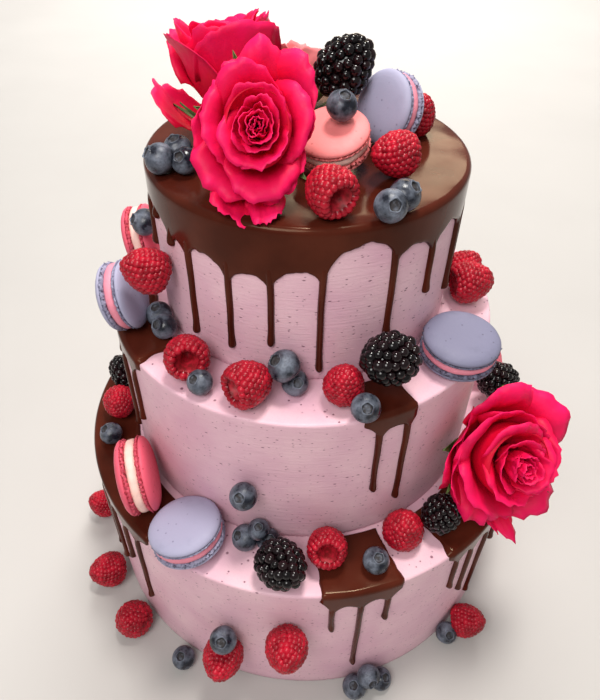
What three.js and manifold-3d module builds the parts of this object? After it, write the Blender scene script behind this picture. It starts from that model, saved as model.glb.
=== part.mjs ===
// Three-tier buttercream cake with ganache drips, berries, macarons and roses.
// Millimetres, +Z up. The origin is the centre of the bottom tier's foot and the front faces -Y.
import * as THREE from 'three';
import { mergeVertices } from 'three/addons/utils/BufferGeometryUtils.js';
import Module from 'manifold-3d';

const wasm = await Module();
wasm.setup();

// Clearance kept between pieces that touch, and the distance within which corners are one
const GAP = 0.4;
const WELD = 0.001;

// Tiers: a stack of plain round cakes, each set a little off the one below
const TIERS = {
  bottom: { radius: 139, base: 0, top: 111, x: 0.6, y: 0 },
  middle: { radius: 107, base: 111 + GAP, top: 205, x: -3, y: 3 },
  top: { radius: 79, base: 205 + GAP, top: 289, x: -3, y: 5 },
};
const TIER_SEGMENTS = 48;
const RIM_BEVEL = 2;

// Ganache: a poured skin on the tops that runs over the rims
const GLAZE = 2;
const CURTAIN_THICK = 1.4;
const DRIP_THICK = 2.3;
const DRIP_EDGE_THICK = 0.9;
const DRIP_WIDTH = 4.4;
const DRIP_SHOULDER_ANGLE = 0.4;
const DRIP_TIP_ROUND = 0.45;
const ARCH_SLOPE = 0.5;
const ARCH_LEAST = 5;
const ARCH_PARTS = [0.34, 0.66];

// Drips of the top tier as [bearing in degrees, drop below the rim, depth of the curtain beside it]
const TOP_DRIPS = [
  [-74, 44, 14], [-62, 20, 12], [-51, 27, 20], [-41.6, 72, 22], [-25, 70, 26], [-10.4, 63, 25],
  [6.2, 78, 22], [30.3, 62, 17], [47.3, 47, 20], [66, 60, 20],
];
const BACK_DRIPS = { from: 84, step: 17, jitter: 0.3, count: 12, shortest: 26, longest: 76, curtain: 19 };

// Repeatable random draws: the seed, and the usual multiplier and modulus
const SEED = 7;
const RANDOM_MULTIPLIER = 16807;
const RANDOM_MODULUS = 2147483647;

// Patches poured over one stretch of a ledge: bearings, inner radius and their drips
const PATCHES = [
  { name: 'ganache_middle_left', tier: 'middle', from: -82, to: -50, inner: 84,
    drips: [[-75, 30, 9], [-64, 71, 9], [-55, 50, 8]] },
  { name: 'ganache_middle_right', tier: 'middle', from: 16.5, to: 32, inner: 84,
    drips: [[21.3, 58, 9], [29.6, 72, 8]] },
  { name: 'ganache_bottom_left', tier: 'bottom', from: -98, to: -38, inner: 111.2,
    drips: [[-90, 40, 8], [-76, 62, 9], [-64, 84, 9], [-56, 72, 9], [-49, 49, 9], [-43.5, 80, 9]] },
  { name: 'ganache_bottom_front', tier: 'bottom', from: 4, to: 23, inner: 105,
    drips: [[7, 38, 11], [13.5, 88, 11], [19.7, 36, 9]] },
  { name: 'ganache_bottom_right', tier: 'bottom', from: 36, to: 64, inner: 107,
    drips: [[38.8, 42, 7], [44.2, 60, 8], [51, 84, 9], [59, 46, 8]] },
];

// Colours of the pieces, with their roughness
const LOOKS = {
  buttercream: { color: 0xdcbcc8, roughness: 0.7 },
  ganache: { color: 0x3c1a12, roughness: 0.18 },
  raspberry: { color: 0xb8162c, roughness: 0.4 },
  blueberry: { color: 0x414d63, roughness: 0.6 },
  bramble: { color: 0x17101a, roughness: 0.25 },
  macaron_pink: { color: 0xe8708a, roughness: 0.65 },
  macaron_lilac: { color: 0x9a98bc, roughness: 0.65 },
  rose: { color: 0xd8104c, roughness: 0.55 },
  rose_pale: { color: 0xe8a090, roughness: 0.55 },
};

// Half profiles as [radius, height] in parts of the piece's size, from the lower end to the upper
const RASPBERRY_PROFILE = [[0, -0.16], [0.26, -0.4], [0.46, -0.38], [0.5, -0.06], [0.37, 0.3], [0, 0.5]];
const BRAMBLE_PROFILE = [[0, -0.5], [0.3, -0.5], [0.47, -0.2], [0.47, 0.16], [0.3, 0.48], [0, 0.62]];
const BLUEBERRY_PROFILE = [[0, -0.46], [0.36, -0.33], [0.5, 0.02], [0.28, 0.42], [0, 0.34]];
const MACARON_PROFILE = [
  [0, -0.23], [0.37, -0.2], [0.5, -0.09], [0.44, -0.05],
  [0.44, 0.05], [0.5, 0.09], [0.37, 0.2], [0, 0.23],
];
const BERRY_SEGMENTS = 12;
const BLUEBERRY_SEGMENTS = 8;
const MACARON_SEGMENTS = 14;
const DRUPELET_BUMP = 0.07;

// A rose as nested cups, from the calyx up the outside and over each petal edge to the bud:
// radius and height in parts of the rose's radius, petals in the ring, how deep their gaps are
// cut and the turn of the ring in degrees
const ROSE_RINGS = [
  { radius: 0, height: -0.7, petals: 0, notch: 0, turn: 0 },
  { radius: 0.2, height: -0.66, petals: 0, notch: 0, turn: 0 },
  { radius: 0.56, height: -0.36, petals: 0, notch: 0, turn: 0 },
  { radius: 0.88, height: 0.0, petals: 5, notch: 0.1, turn: 0 },
  { radius: 1.0, height: 0.2, petals: 5, notch: 0.22, turn: 0 },
  { radius: 0.8, height: 0.14, petals: 0, notch: 0, turn: 0 },
  { radius: 0.8, height: 0.46, petals: 5, notch: 0.16, turn: 36 },
  { radius: 0.62, height: 0.24, petals: 0, notch: 0, turn: 0 },
  { radius: 0.56, height: 0.6, petals: 5, notch: 0.16, turn: 8 },
  { radius: 0.38, height: 0.34, petals: 0, notch: 0, turn: 0 },
  { radius: 0.33, height: 0.66, petals: 3, notch: 0.18, turn: 50 },
  { radius: 0.19, height: 0.42, petals: 0, notch: 0, turn: 0 },
  { radius: 0.12, height: 0.64, petals: 3, notch: 0.12, turn: 20 },
  { radius: 0, height: 0.5, petals: 0, notch: 0, turn: 0 },
];
const ROSE_SEGMENTS = 25;
const DROOP_SPREAD = 26;

// The upright axis that the toppings are laid out round
const TOPPING_AXIS = { x: -1, y: 3 };

// Toppings stand at a bearing from the front (to the right is positive) and a distance out from that
// axis. They rest on a ledge or the floor, or are held at a height. facing is the bearing and the
// elevation of the piece's own axis: a berry's tip, a blueberry's crown, a macaron's or rose's face.
const ROSES = [
  { name: 'rose_top_front', bearing: -22.5, out: 57, height: 321, size: 50, facing: [4, 28],
    droop: { turn: -14, reach: 0.3 } },
  { name: 'rose_top_back', bearing: -88, out: 39, height: 331, size: 54, facing: [-140, 78], deep: 2,
    droop: { turn: -80, reach: 0.3 } },
  { name: 'rose_top_rear', look: 'rose_pale', bearing: -168, out: 39, height: 307, size: 44,
    facing: [170, 48] },
  { name: 'rose_side', bearing: 53, out: 136, height: 157, size: 70, facing: [16, 30],
    droop: { turn: -6, reach: 0.36 } },
];

const MACARONS = [
  { name: 'macaron_pink_top', look: 'macaron_pink', bearing: 22, out: 24.5, height: 304.6, size: 35,
    facing: [-25, 71] },
  { name: 'macaron_lilac_top', look: 'macaron_lilac', bearing: 97, out: 37, rests: 'glaze', size: 35,
    facing: [-52, 20] },
  { name: 'macaron_pink_middle', look: 'macaron_pink', bearing: -100, out: 98, rests: 'middle', size: 39,
    facing: [95, 12] },
  { name: 'macaron_lilac_middle', look: 'macaron_lilac', bearing: -67.2, out: 103.2, rests: 'middle_glaze',
    size: 37, facing: [90, 15] },
  { name: 'macaron_lilac_right', look: 'macaron_lilac', bearing: 53, out: 97.4, rests: 'middle', size: 40,
    facing: [20, 85] },
  { name: 'macaron_pink_bottom', look: 'macaron_pink', bearing: -46.4, out: 126, rests: 'bottom_glaze',
    size: 44, facing: [105, 6] },
  { name: 'macaron_lilac_bottom', look: 'macaron_lilac', bearing: -28.6, out: 128.4, rests: 'bottom',
    size: 41, facing: [-116, 78] },
  { name: 'macaron_pink_right', look: 'macaron_pink', bearing: 104, out: 129, rests: 'bottom', size: 40,
    facing: [78, 30] },
];

const RASPBERRIES = [
  { name: 'raspberry_top_front', bearing: 6.6, out: 66, rests: 'glaze', size: 22, facing: [-150, 5] },
  { name: 'raspberry_top_right', bearing: 48, out: 49, rests: 'glaze', size: 21, facing: [-70, 8] },
  { name: 'raspberry_top_back', bearing: 109, out: 56, rests: 'glaze', size: 20, facing: [60, 70] },
  { name: 'raspberry_middle_left', bearing: -56.8, out: 93.4, height: 250.5, size: 23, facing: [-70, 30] },
  { name: 'raspberry_middle_front', bearing: -15.5, out: 95.3, rests: 'middle', size: 23, facing: [130, -5] },
  { name: 'raspberry_middle_tip', bearing: 11.8, out: 92.4, rests: 'middle_glaze', size: 20,
    facing: [20, 76] },
  { name: 'raspberry_bottom_left', bearing: -79.4, out: 121, rests: 'bottom_glaze', size: 21,
    facing: [20, 5] },
  { name: 'raspberry_bottom_front', bearing: 6.9, out: 119.5, rests: 'bottom_glaze', size: 22,
    facing: [180, -30] },
  { name: 'raspberry_bottom_tip', bearing: 28.3, out: 120.5, rests: 'bottom', size: 23, facing: [20, 78] },
  { name: 'raspberry_under_rose', bearing: 66, out: 128, rests: 'bottom_glaze', size: 22, facing: [80, 5] },
  { name: 'raspberry_foot_left', bearing: -81.5, out: 154, rests: 'floor', size: 21, facing: [-80, 40] },
  { name: 'raspberry_foot_corner', bearing: -59.8, out: 155.5, rests: 'floor', size: 24, facing: [-60, 25] },
  { name: 'raspberry_foot_front', bearing: -44.4, out: 156.5, rests: 'floor', size: 24, facing: [-40, 60] },
  { name: 'raspberry_wall_front', bearing: -2, out: 156, height: 77.5, size: 24, facing: [0, 25] },
];

const BRAMBLES = [
  { name: 'bramble_top', bearing: 126, out: 17, height: 326, size: 27, facing: [80, 52] },
  { name: 'bramble_middle', bearing: 24.4, out: 93.6, height: 227.6, size: 26, facing: [-60, 22] },
  { name: 'bramble_bottom_left', bearing: -93, out: 121.4, rests: 'bottom_glaze', size: 23,
    facing: [-60, 70] },
  { name: 'bramble_bottom_front', bearing: -4.1, out: 132, rests: 'bottom', size: 26, facing: [40, 24] },
  { name: 'bramble_bottom_right', bearing: 38.5, out: 125, rests: 'bottom_glaze', size: 22,
    facing: [20, 80] },
  { name: 'bramble_right', bearing: 89.6, out: 126.4, height: 136, size: 24, facing: [95, 6] },
];

const BLUEBERRIES = [
  { name: 'blueberry_macaron', bearing: 27, out: 27.6, height: 321, size: 13.8, facing: [20, 60] },
  { name: 'blueberry_middle_left', bearing: -90.5, out: 90, height: 245.5, size: 15, facing: [-60, 30] },
  { name: 'blueberry_middle_front', bearing: 15.2, out: 107, rests: 'middle_glaze', size: 14,
    facing: [0, 45] },
  { name: 'blueberry_bottom_left', bearing: -70.1, out: 128, rests: 'bottom_glaze', size: 14,
    facing: [-60, 60] },
  { name: 'blueberry_wall', bearing: -14.6, out: 116, height: 156, size: 14.5, facing: [-20, 45] },
  { name: 'blueberry_bottom_front', bearing: 18, out: 131, rests: 'bottom_glaze', size: 14.4,
    facing: [20, 70] },
  { name: 'blueberry_foot', bearing: -28.6, out: 151, rests: 'floor', size: 14.6, facing: [-30, 70] },
];

// Berries that press against each other are one body. Their lifts count from the lowest berry's
// centre, and the whole body rests on its surface or starts at a height.
const JOINED = [
  { name: 'blueberries_top_left', look: 'blueberry', rests: 'glaze', berries: [
    { kind: 'blueberry', bearing: -64.1, out: 75.6, lift: 0, size: 14.2, facing: [-70, 35] },
    { kind: 'blueberry', bearing: -69.5, out: 65.7, lift: 0, size: 13.8, facing: [-30, 70] },
    { kind: 'blueberry', bearing: -59.8, out: 65.7, lift: -0.6, size: 12.4, facing: [-20, 40] },
  ] },
  { name: 'blueberries_top_right', look: 'blueberry', rests: 'glaze', berries: [
    { kind: 'blueberry', bearing: 24.9, out: 77.5, lift: 0, size: 14, facing: [10, 30] },
    { kind: 'blueberry', bearing: 32.7, out: 72.5, lift: 0, size: 14, facing: [60, 50] },
  ] },
  { name: 'blueberries_middle_left', look: 'blueberry', rests: 'middle_glaze', berries: [
    { kind: 'blueberry', bearing: -63.2, out: 87.6, lift: 0, size: 13.8, facing: [-20, 70] },
    { kind: 'blueberry', bearing: -56, out: 88.6, lift: 0, size: 13.6, facing: [-40, 40] },
  ] },
  { name: 'blueberries_middle_front', look: 'blueberry', rests: 'middle', berries: [
    { kind: 'blueberry', bearing: -6.6, out: 86.2, lift: 11, size: 15.8, facing: [-60, 50] },
    { kind: 'blueberry', bearing: -3.2, out: 85.4, lift: 0, size: 13.2, facing: [20, 40] },
  ] },
  { name: 'berries_middle_corner', look: 'raspberry', rests: 'middle', berries: [
    { kind: 'raspberry', bearing: -37.6, out: 93.4, lift: 5, size: 23, facing: [-170, -20] },
    { kind: 'blueberry', bearing: -29.5, out: 100.3, lift: 0, size: 12.8, facing: [-40, 50] },
  ] },
  { name: 'raspberries_middle_right', look: 'raspberry', rests: 'middle', berries: [
    { kind: 'raspberry', bearing: 84.6, out: 93, lift: 0.5, size: 24, facing: [100, 6] },
    { kind: 'raspberry', bearing: 93.4, out: 90.5, lift: 0, size: 22, facing: [110, 40] },
  ] },
  { name: 'blueberries_bottom_front', look: 'blueberry', rests: 'bottom', berries: [
    { kind: 'blueberry', bearing: -15, out: 116.5, lift: 0.6, size: 14.8, facing: [-60, 50] },
    { kind: 'blueberry', bearing: -11.4, out: 114.2, lift: 8, size: 12, facing: [0, 70] },
    { kind: 'blueberry', bearing: -8.7, out: 114.6, lift: 0, size: 13.1, facing: [20, 60] },
  ] },
  { name: 'berries_wall_front', look: 'raspberry', height: 47, berries: [
    { kind: 'raspberry', bearing: -16.3, out: 155, lift: 0, size: 24, facing: [-10, 10] },
    { kind: 'blueberry', bearing: -16.1, out: 151, lift: 18.2, size: 15.4, facing: [-5, 55] },
  ] },
  { name: 'blueberries_foot', look: 'blueberry', rests: 'floor', berries: [
    { kind: 'blueberry', bearing: 14.1, out: 151, lift: 0.3, size: 15, facing: [-30, 70] },
    { kind: 'blueberry', bearing: 17.4, out: 150.4, lift: 8.8, size: 14.4, facing: [20, 25] },
    { kind: 'blueberry', bearing: 20.7, out: 151, lift: 0, size: 14, facing: [60, 60] },
  ] },
  { name: 'berries_foot_right', look: 'raspberry', rests: 'floor', berries: [
    { kind: 'raspberry', bearing: 47.2, out: 155.1, lift: 5, size: 22, facing: [80, 20] },
    { kind: 'blueberry', bearing: 41.6, out: 149.4, lift: 0, size: 14, facing: [10, 50] },
  ] },
  { name: 'berries_back_middle', look: 'raspberry', rests: 'middle', berries: [
    { kind: 'raspberry', bearing: 172, out: 95.5, lift: 5, size: 23, facing: [180, 50] },
    { kind: 'blueberry', bearing: 181.2, out: 94, lift: 0, size: 14, facing: [190, 50] },
    { kind: 'blueberry', bearing: 163.2, out: 95, lift: 0, size: 13.6, facing: [150, 40] },
  ] },
  { name: 'berries_back_bottom', look: 'raspberry', rests: 'bottom', berries: [
    { kind: 'raspberry', bearing: -150, out: 123, lift: 5, size: 23, facing: [-150, 60] },
    { kind: 'blueberry', bearing: -142.6, out: 122, lift: 0, size: 14.4, facing: [-140, 50] },
    { kind: 'raspberry', bearing: -159.6, out: 123, lift: 5, size: 22, facing: [-170, 10] },
  ] },
];

// The surfaces that toppings rest on
const REST_HEIGHTS = {
  floor: 0,
  bottom: TIERS.bottom.top,
  bottom_glaze: TIERS.bottom.top + GAP + GLAZE,
  middle: TIERS.middle.top,
  middle_glaze: TIERS.middle.top + GAP + GLAZE,
  glaze: TIERS.top.top + GAP + GLAZE,
};

const radians = THREE.MathUtils.degToRad;
const UP = new THREE.Vector3(0, 0, 1);

// Repeatable random numbers from 0 to 1
function seededRandom(seed) {
  let state = seed;
  return () => {
    state = (state * RANDOM_MULTIPLIER) % RANDOM_MODULUS;
    return state / RANDOM_MODULUS;
  };
}

// A point at a bearing from the front, a distance out from the axis and a height
function onBearing(bearing, out, height) {
  const angle = radians(bearing);
  return new THREE.Vector3(out * Math.sin(angle), -out * Math.cos(angle), height);
}

function facingTurn([bearing, elevation]) {
  const tilt = radians(elevation);
  const aim = onBearing(bearing, Math.cos(tilt), Math.sin(tilt));
  return new THREE.Quaternion().setFromUnitVectors(UP, aim);
}

// One closed skin: shared corners are merged and triangles without area are dropped
function welded(geometry) {
  geometry.deleteAttribute('normal');
  geometry.deleteAttribute('uv');
  const merged = mergeVertices(geometry, WELD);
  const corners = Array.from(merged.index.array);
  const kept = [];
  for (let i = 0; i < corners.length; i += 3) {
    const [a, b, c] = corners.slice(i, i + 3);
    if (a !== b && b !== c && c !== a) kept.push(a, b, c);
  }
  merged.setIndex(kept);
  merged.computeVertexNormals();
  return merged;
}

// A round body turned about +Z; shape may move each point by its place along and round the profile
function turned(profile, segments, shape) {
  const points = profile.map(([radius, height]) => new THREE.Vector2(radius, height));
  const geometry = new THREE.LatheGeometry(points, segments);
  geometry.rotateX(Math.PI / 2);
  if (shape) {
    const position = geometry.attributes.position;
    const point = new THREE.Vector3();
    for (let i = 0; i < position.count; i += 1) {
      point.fromBufferAttribute(position, i);
      const round = Math.floor(i / profile.length) % segments;
      shape(point, i % profile.length, round);
      position.setXYZ(i, point.x, point.y, point.z);
    }
  }
  return welded(geometry);
}

function scaledProfile(profile, size) {
  return profile.map(([radius, height]) => [radius * size, height * size]);
}

function toManifold(geometry) {
  const vertProperties = new Float32Array(geometry.attributes.position.array);
  const triVerts = new Uint32Array(geometry.index.array);
  return new wasm.Manifold(new wasm.Mesh({ numProp: 3, vertProperties, triVerts }));
}

function joinedGeometry(geometries) {
  const [first, ...others] = geometries.map(toManifold);
  const union = others.reduce((body, other) => body.add(other), first);
  const mesh = union.getMesh();
  const geometry = new THREE.BufferGeometry();
  geometry.setAttribute('position', new THREE.BufferAttribute(mesh.vertProperties, 3));
  geometry.setIndex(Array.from(mesh.triVerts));
  geometry.computeVertexNormals();
  return geometry;
}

// Alternate corners stand out and in, so the skin is bumpy like a berry's drupelets
function drupeletBumps(point, along, round) {
  const bump = (along + round) % 2 ? 1 + DRUPELET_BUMP : 1 - DRUPELET_BUMP;
  point.x *= bump;
  point.y *= bump;
}

const SHAPES = {
  raspberry: (size) => turned(scaledProfile(RASPBERRY_PROFILE, size), BERRY_SEGMENTS, drupeletBumps),
  bramble: (size) => turned(scaledProfile(BRAMBLE_PROFILE, size), BERRY_SEGMENTS, drupeletBumps),
  blueberry: (size) => turned(scaledProfile(BLUEBERRY_PROFILE, size), BLUEBERRY_SEGMENTS),
  macaron: (size) => turned(scaledProfile(MACARON_PROFILE, size), MACARON_SEGMENTS),
};

// Petals bulge between the notches of their ring, and one outer petal may hang down. A deep rose is
// stretched below its middle, down to its calyx.
function roseGeometry({ size, droop, deep = 1 }) {
  const scale = size / 2;
  const stretched = (height) => (height < 0 ? height * deep : height) * scale;
  const profile = ROSE_RINGS.map((ring) => [ring.radius * scale, stretched(ring.height)]);
  const outer = ROSE_RINGS.findIndex((ring) => ring.radius === 1);
  return turned(profile, ROSE_SEGMENTS, (point, along, round) => {
    const ring = ROSE_RINGS[along];
    const angle = (round * 360) / ROSE_SEGMENTS;
    if (ring.petals) {
      const wave = Math.abs(Math.cos((radians(angle - ring.turn) * ring.petals) / 2));
      const cut = ring.notch * (1 - Math.sqrt(wave));
      point.x *= 1 - cut;
      point.y *= 1 - cut;
      point.z -= cut * scale;
    }
    if (droop && (along === outer || along === outer - 1)) {
      const away = THREE.MathUtils.euclideanModulo(angle - droop.turn + 180, 360) - 180;
      const hang = droop.reach * Math.exp(-((away / DROOP_SPREAD) ** 2));
      point.x *= 1 + hang;
      point.y *= 1 + hang;
      point.z -= hang * scale;
    }
  });
}

function finished(name, look, geometry) {
  const material = new THREE.MeshStandardMaterial({ ...LOOKS[look], metalness: 0 });
  const mesh = new THREE.Mesh(geometry, material);
  mesh.name = name;
  return mesh;
}

// How far a turned mesh rises so that its lowest corner lies just over its surface
function restingRise(mesh, rests) {
  const box = new THREE.Box3().setFromObject(mesh, true);
  return REST_HEIGHTS[rests] + GAP - box.min.z;
}

// A topping laid down on its surface, or held at its height
function placed(mesh, item) {
  mesh.quaternion.copy(facingTurn(item.facing));
  const height = item.rests ? restingRise(mesh, item.rests) : item.height;
  mesh.position.copy(onBearing(item.bearing, item.out, height));
  return mesh;
}

function topping(kind, item) {
  const look = item.look ?? kind;
  return placed(finished(item.name, look, SHAPES[kind](item.size)), item);
}

function rose(item) {
  const look = item.look ?? 'rose';
  return placed(finished(item.name, look, roseGeometry(item)), item);
}

function joinedBerries(group) {
  const bodies = group.berries.map((berry) => {
    const geometry = SHAPES[berry.kind](berry.size);
    geometry.applyQuaternion(facingTurn(berry.facing));
    const place = onBearing(berry.bearing, berry.out, berry.lift);
    return geometry.translate(place.x, place.y, place.z);
  });
  const mesh = finished(group.name, group.look, joinedGeometry(bodies));
  mesh.position.z = group.rests ? restingRise(mesh, group.rests) : group.height;
  return mesh;
}

function tierMesh(name, tier) {
  const profile = [
    [0, tier.base],
    [tier.radius, tier.base],
    [tier.radius, tier.top - RIM_BEVEL],
    [tier.radius - RIM_BEVEL, tier.top],
    [0, tier.top],
  ];
  const mesh = finished(name, 'buttercream', turned(profile, TIER_SEGMENTS));
  mesh.position.set(tier.x, tier.y, 0);
  return mesh;
}

// The ganache's section at one bearing: out over the top, down the wall and back along the cake
function ganacheSection(tier, inner, drop, thick) {
  const wall = tier.radius + GAP;
  const edge = tier.radius - RIM_BEVEL;
  const bend = tier.top - RIM_BEVEL;
  const poured = tier.top + GAP + GLAZE;
  const end = tier.top - drop;
  return [
    [inner, tier.top + GAP],
    [inner, poured],
    [edge, poured],
    [wall + thick * Math.SQRT1_2, poured - GLAZE * Math.SQRT1_2],
    [wall + thick, bend],
    [wall + thick, end + thick],
    [wall, end],
    [wall, bend],
    [edge, tier.top + GAP],
  ];
}

// Bearings where the skin is shaped: five across each drip, and an arch between neighbours
function ganacheSamples(tier, drips, isRing) {
  const half = THREE.MathUtils.radToDeg(DRIP_WIDTH / 2 / tier.radius);
  const samples = [];
  drips.forEach(([bearing, drop, curtain], index) => {
    const side = drop - DRIP_WIDTH * DRIP_TIP_ROUND;
    samples.push(
      { bearing: bearing - half - DRIP_SHOULDER_ANGLE, drop: curtain, thick: CURTAIN_THICK },
      { bearing: bearing - half, drop: side, thick: DRIP_EDGE_THICK },
      { bearing, drop, thick: DRIP_THICK },
      { bearing: bearing + half, drop: side, thick: DRIP_EDGE_THICK },
      { bearing: bearing + half + DRIP_SHOULDER_ANGLE, drop: curtain, thick: CURTAIN_THICK },
    );
    const isLast = index === drips.length - 1;
    if (isLast && !isRing) return;
    const next = drips[(index + 1) % drips.length];
    const nextBearing = isLast ? next[0] + 360 : next[0];
    samples.push(...archSamples(bearing, curtain, nextBearing, next[2]));
  });
  return samples;
}

function archSamples(bearing, curtain, nextBearing, nextCurtain) {
  const span = nextBearing - bearing;
  const lift = Math.min(ARCH_SLOPE * span, Math.min(curtain, nextCurtain) - ARCH_LEAST);
  return ARCH_PARTS.map((part) => {
    const level = THREE.MathUtils.lerp(curtain, nextCurtain, part);
    const arch = Math.max(lift, 0) * (1 - (2 * part - 1) ** 2);
    return { bearing: bearing + part * span, drop: level - arch, thick: CURTAIN_THICK };
  });
}

// Sections joined side by side into one skin, closed in a ring or by its two end sections
function ganacheMesh(name, tier, inner, samples, isRing) {
  const sections = samples.map((sample) => ganacheSection(tier, inner, sample.drop, sample.thick));
  const count = sections[0].length;
  const positions = [];
  sections.forEach((section, index) => {
    for (const [out, height] of section) {
      const point = onBearing(samples[index].bearing, out, height);
      positions.push(point.x, point.y, point.z);
    }
  });
  const corners = [];
  const strips = isRing ? sections.length : sections.length - 1;
  for (let strip = 0; strip < strips; strip += 1) {
    const here = strip * count;
    const there = ((strip + 1) % sections.length) * count;
    for (let row = 0; row < count; row += 1) {
      const next = (row + 1) % count;
      corners.push(here + row, here + next, there + next);
      corners.push(here + row, there + next, there + row);
    }
  }
  if (!isRing) corners.push(...endCaps(sections, count));
  const geometry = new THREE.BufferGeometry();
  geometry.setAttribute('position', new THREE.Float32BufferAttribute(positions, 3));
  geometry.setIndex(corners);
  const mesh = finished(name, 'ganache', welded(geometry));
  mesh.position.set(tier.x, tier.y, 0);
  return mesh;
}

function endCaps(sections, count) {
  const last = (sections.length - 1) * count;
  const outline = (section) => section.map(([out, height]) => new THREE.Vector2(out, height));
  const start = THREE.ShapeUtils.triangulateShape(outline(sections[0]), []);
  const end = THREE.ShapeUtils.triangulateShape(outline(sections[sections.length - 1]), []);
  const corners = [];
  for (const [a, b, c] of start) corners.push(a, b, c);
  for (const [a, b, c] of end) corners.push(last + a, last + c, last + b);
  return corners;
}

function topDrips() {
  const random = seededRandom(SEED);
  const { from, step, jitter, count, shortest, longest, curtain } = BACK_DRIPS;
  const drips = [...TOP_DRIPS];
  for (let index = 0; index < count; index += 1) {
    const bearing = from + (index + jitter * (random() - 0.5)) * step;
    const drop = THREE.MathUtils.lerp(shortest, longest, random());
    drips.push([bearing, drop, curtain]);
  }
  return drips;
}

function ganacheTop() {
  const samples = ganacheSamples(TIERS.top, topDrips(), true);
  return ganacheMesh('ganache_top', TIERS.top, 0, samples, true);
}

function ganachePatch(patch) {
  const tier = TIERS[patch.tier];
  const edge = { drop: ARCH_LEAST, thick: DRIP_EDGE_THICK };
  const samples = [
    { bearing: patch.from, ...edge },
    ...ganacheSamples(tier, patch.drips, false),
    { bearing: patch.to, ...edge },
  ];
  return ganacheMesh(patch.name, tier, patch.inner, samples, false);
}

const cake = new THREE.Group();
for (const [name, tier] of Object.entries(TIERS)) cake.add(tierMesh(`tier_${name}`, tier));
cake.add(ganacheTop());
for (const patch of PATCHES) cake.add(ganachePatch(patch));

const toppings = new THREE.Group();
toppings.position.set(TOPPING_AXIS.x, TOPPING_AXIS.y, 0);
for (const item of ROSES) toppings.add(rose(item));
for (const item of MACARONS) toppings.add(topping('macaron', item));
for (const item of RASPBERRIES) toppings.add(topping('raspberry', item));
for (const item of BRAMBLES) toppings.add(topping('bramble', item));
for (const item of BLUEBERRIES) toppings.add(topping('blueberry', item));
for (const group of JOINED) toppings.add(joinedBerries(group));
cake.add(toppings);

export default cake;
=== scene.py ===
"""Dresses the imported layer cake: iced tiers, poured ganache, berries, macarons and roses."""

import math
import random

import bpy
from mathutils import Matrix, Vector, noise


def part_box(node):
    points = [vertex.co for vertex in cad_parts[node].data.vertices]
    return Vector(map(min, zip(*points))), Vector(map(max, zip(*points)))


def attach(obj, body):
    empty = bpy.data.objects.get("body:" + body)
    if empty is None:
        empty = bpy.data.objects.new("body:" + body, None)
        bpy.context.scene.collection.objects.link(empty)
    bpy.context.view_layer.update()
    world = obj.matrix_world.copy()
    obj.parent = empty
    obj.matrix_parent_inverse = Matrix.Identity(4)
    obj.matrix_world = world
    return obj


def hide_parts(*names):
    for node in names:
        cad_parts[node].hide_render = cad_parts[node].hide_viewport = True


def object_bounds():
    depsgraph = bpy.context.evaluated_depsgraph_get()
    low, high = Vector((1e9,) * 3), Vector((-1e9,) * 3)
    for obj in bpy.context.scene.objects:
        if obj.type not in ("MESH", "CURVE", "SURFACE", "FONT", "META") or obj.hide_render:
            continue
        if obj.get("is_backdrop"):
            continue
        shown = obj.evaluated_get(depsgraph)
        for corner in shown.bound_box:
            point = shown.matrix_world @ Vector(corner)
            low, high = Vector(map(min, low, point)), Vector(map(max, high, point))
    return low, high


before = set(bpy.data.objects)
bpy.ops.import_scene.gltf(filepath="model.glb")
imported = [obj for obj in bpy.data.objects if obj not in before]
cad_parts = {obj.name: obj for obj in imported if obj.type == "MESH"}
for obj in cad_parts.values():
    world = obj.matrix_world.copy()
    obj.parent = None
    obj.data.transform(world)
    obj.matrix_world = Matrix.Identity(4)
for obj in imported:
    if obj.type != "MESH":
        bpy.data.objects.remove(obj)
CAD_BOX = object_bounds()

bl_info = {
    "name": "Layer Cake",
    "version": (1, 0, 0),
    "blender": (4, 5, 0),
    "location": "View3D > Sidebar > Cake",
    "description": "Builds an iced layer cake with ganache drips, berries, macarons and roses",
    "category": "Add Mesh",
}

BODY = "root"
MM = 0.001

# The photograph's camera, in millimetres and degrees
CAMERA_PLACE = (-1.0, -293.9, 423.0)
CAMERA_YAW = -0.696
CAMERA_PITCH = 42.0
CAMERA_ROLL = 1.23
CAMERA_LENS = 32.15
SENSOR_WIDTH = 36.0
CLIP_START = 10.0

# The stage, in metres and watts. A lamp has its name, place, target, size, power and colour, and the
# kinds of rays that it is hidden from
FLOOR_REACH = 6.0
FLOOR_STEPS = 20
SKY_COLOUR = (0.95, 0.93, 0.9)
SKY_STRENGTH = 0.38
LAMPS = (
    ("overhead", (0.1, 0.1, 1.4), (0, 0, 0.2), 0.28, 11.5, (1.0, 0.96, 0.9), ()),
    ("backdrop", (0, 1.8, 1.6), (0, 1.8, 0), 1.6, 70, (1.0, 0.98, 0.95), ("visible_glossy",)),
    ("sheen", (0.6, 2.9, 1.7), (0.6, 2.9, 0), 1.6, 30, (1.0, 0.8, 0.55), ("visible_diffuse",)),
    ("front fill", (-0.2, -0.6, 0.9), (0, 0, 0.2), 0.5, 5.4, (1.0, 0.98, 0.96), ()),
)

# Tiers: radius, base, top and centre, in millimetres
TIERS = {
    "bottom": (139.0, 0.0, 111.0, 0.6, 0.0),
    "middle": (107.0, 111.4, 205.0, -3.0, 3.0),
    "top": (79.0, 205.4, 289.0, -3.0, 5.0),
}

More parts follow.
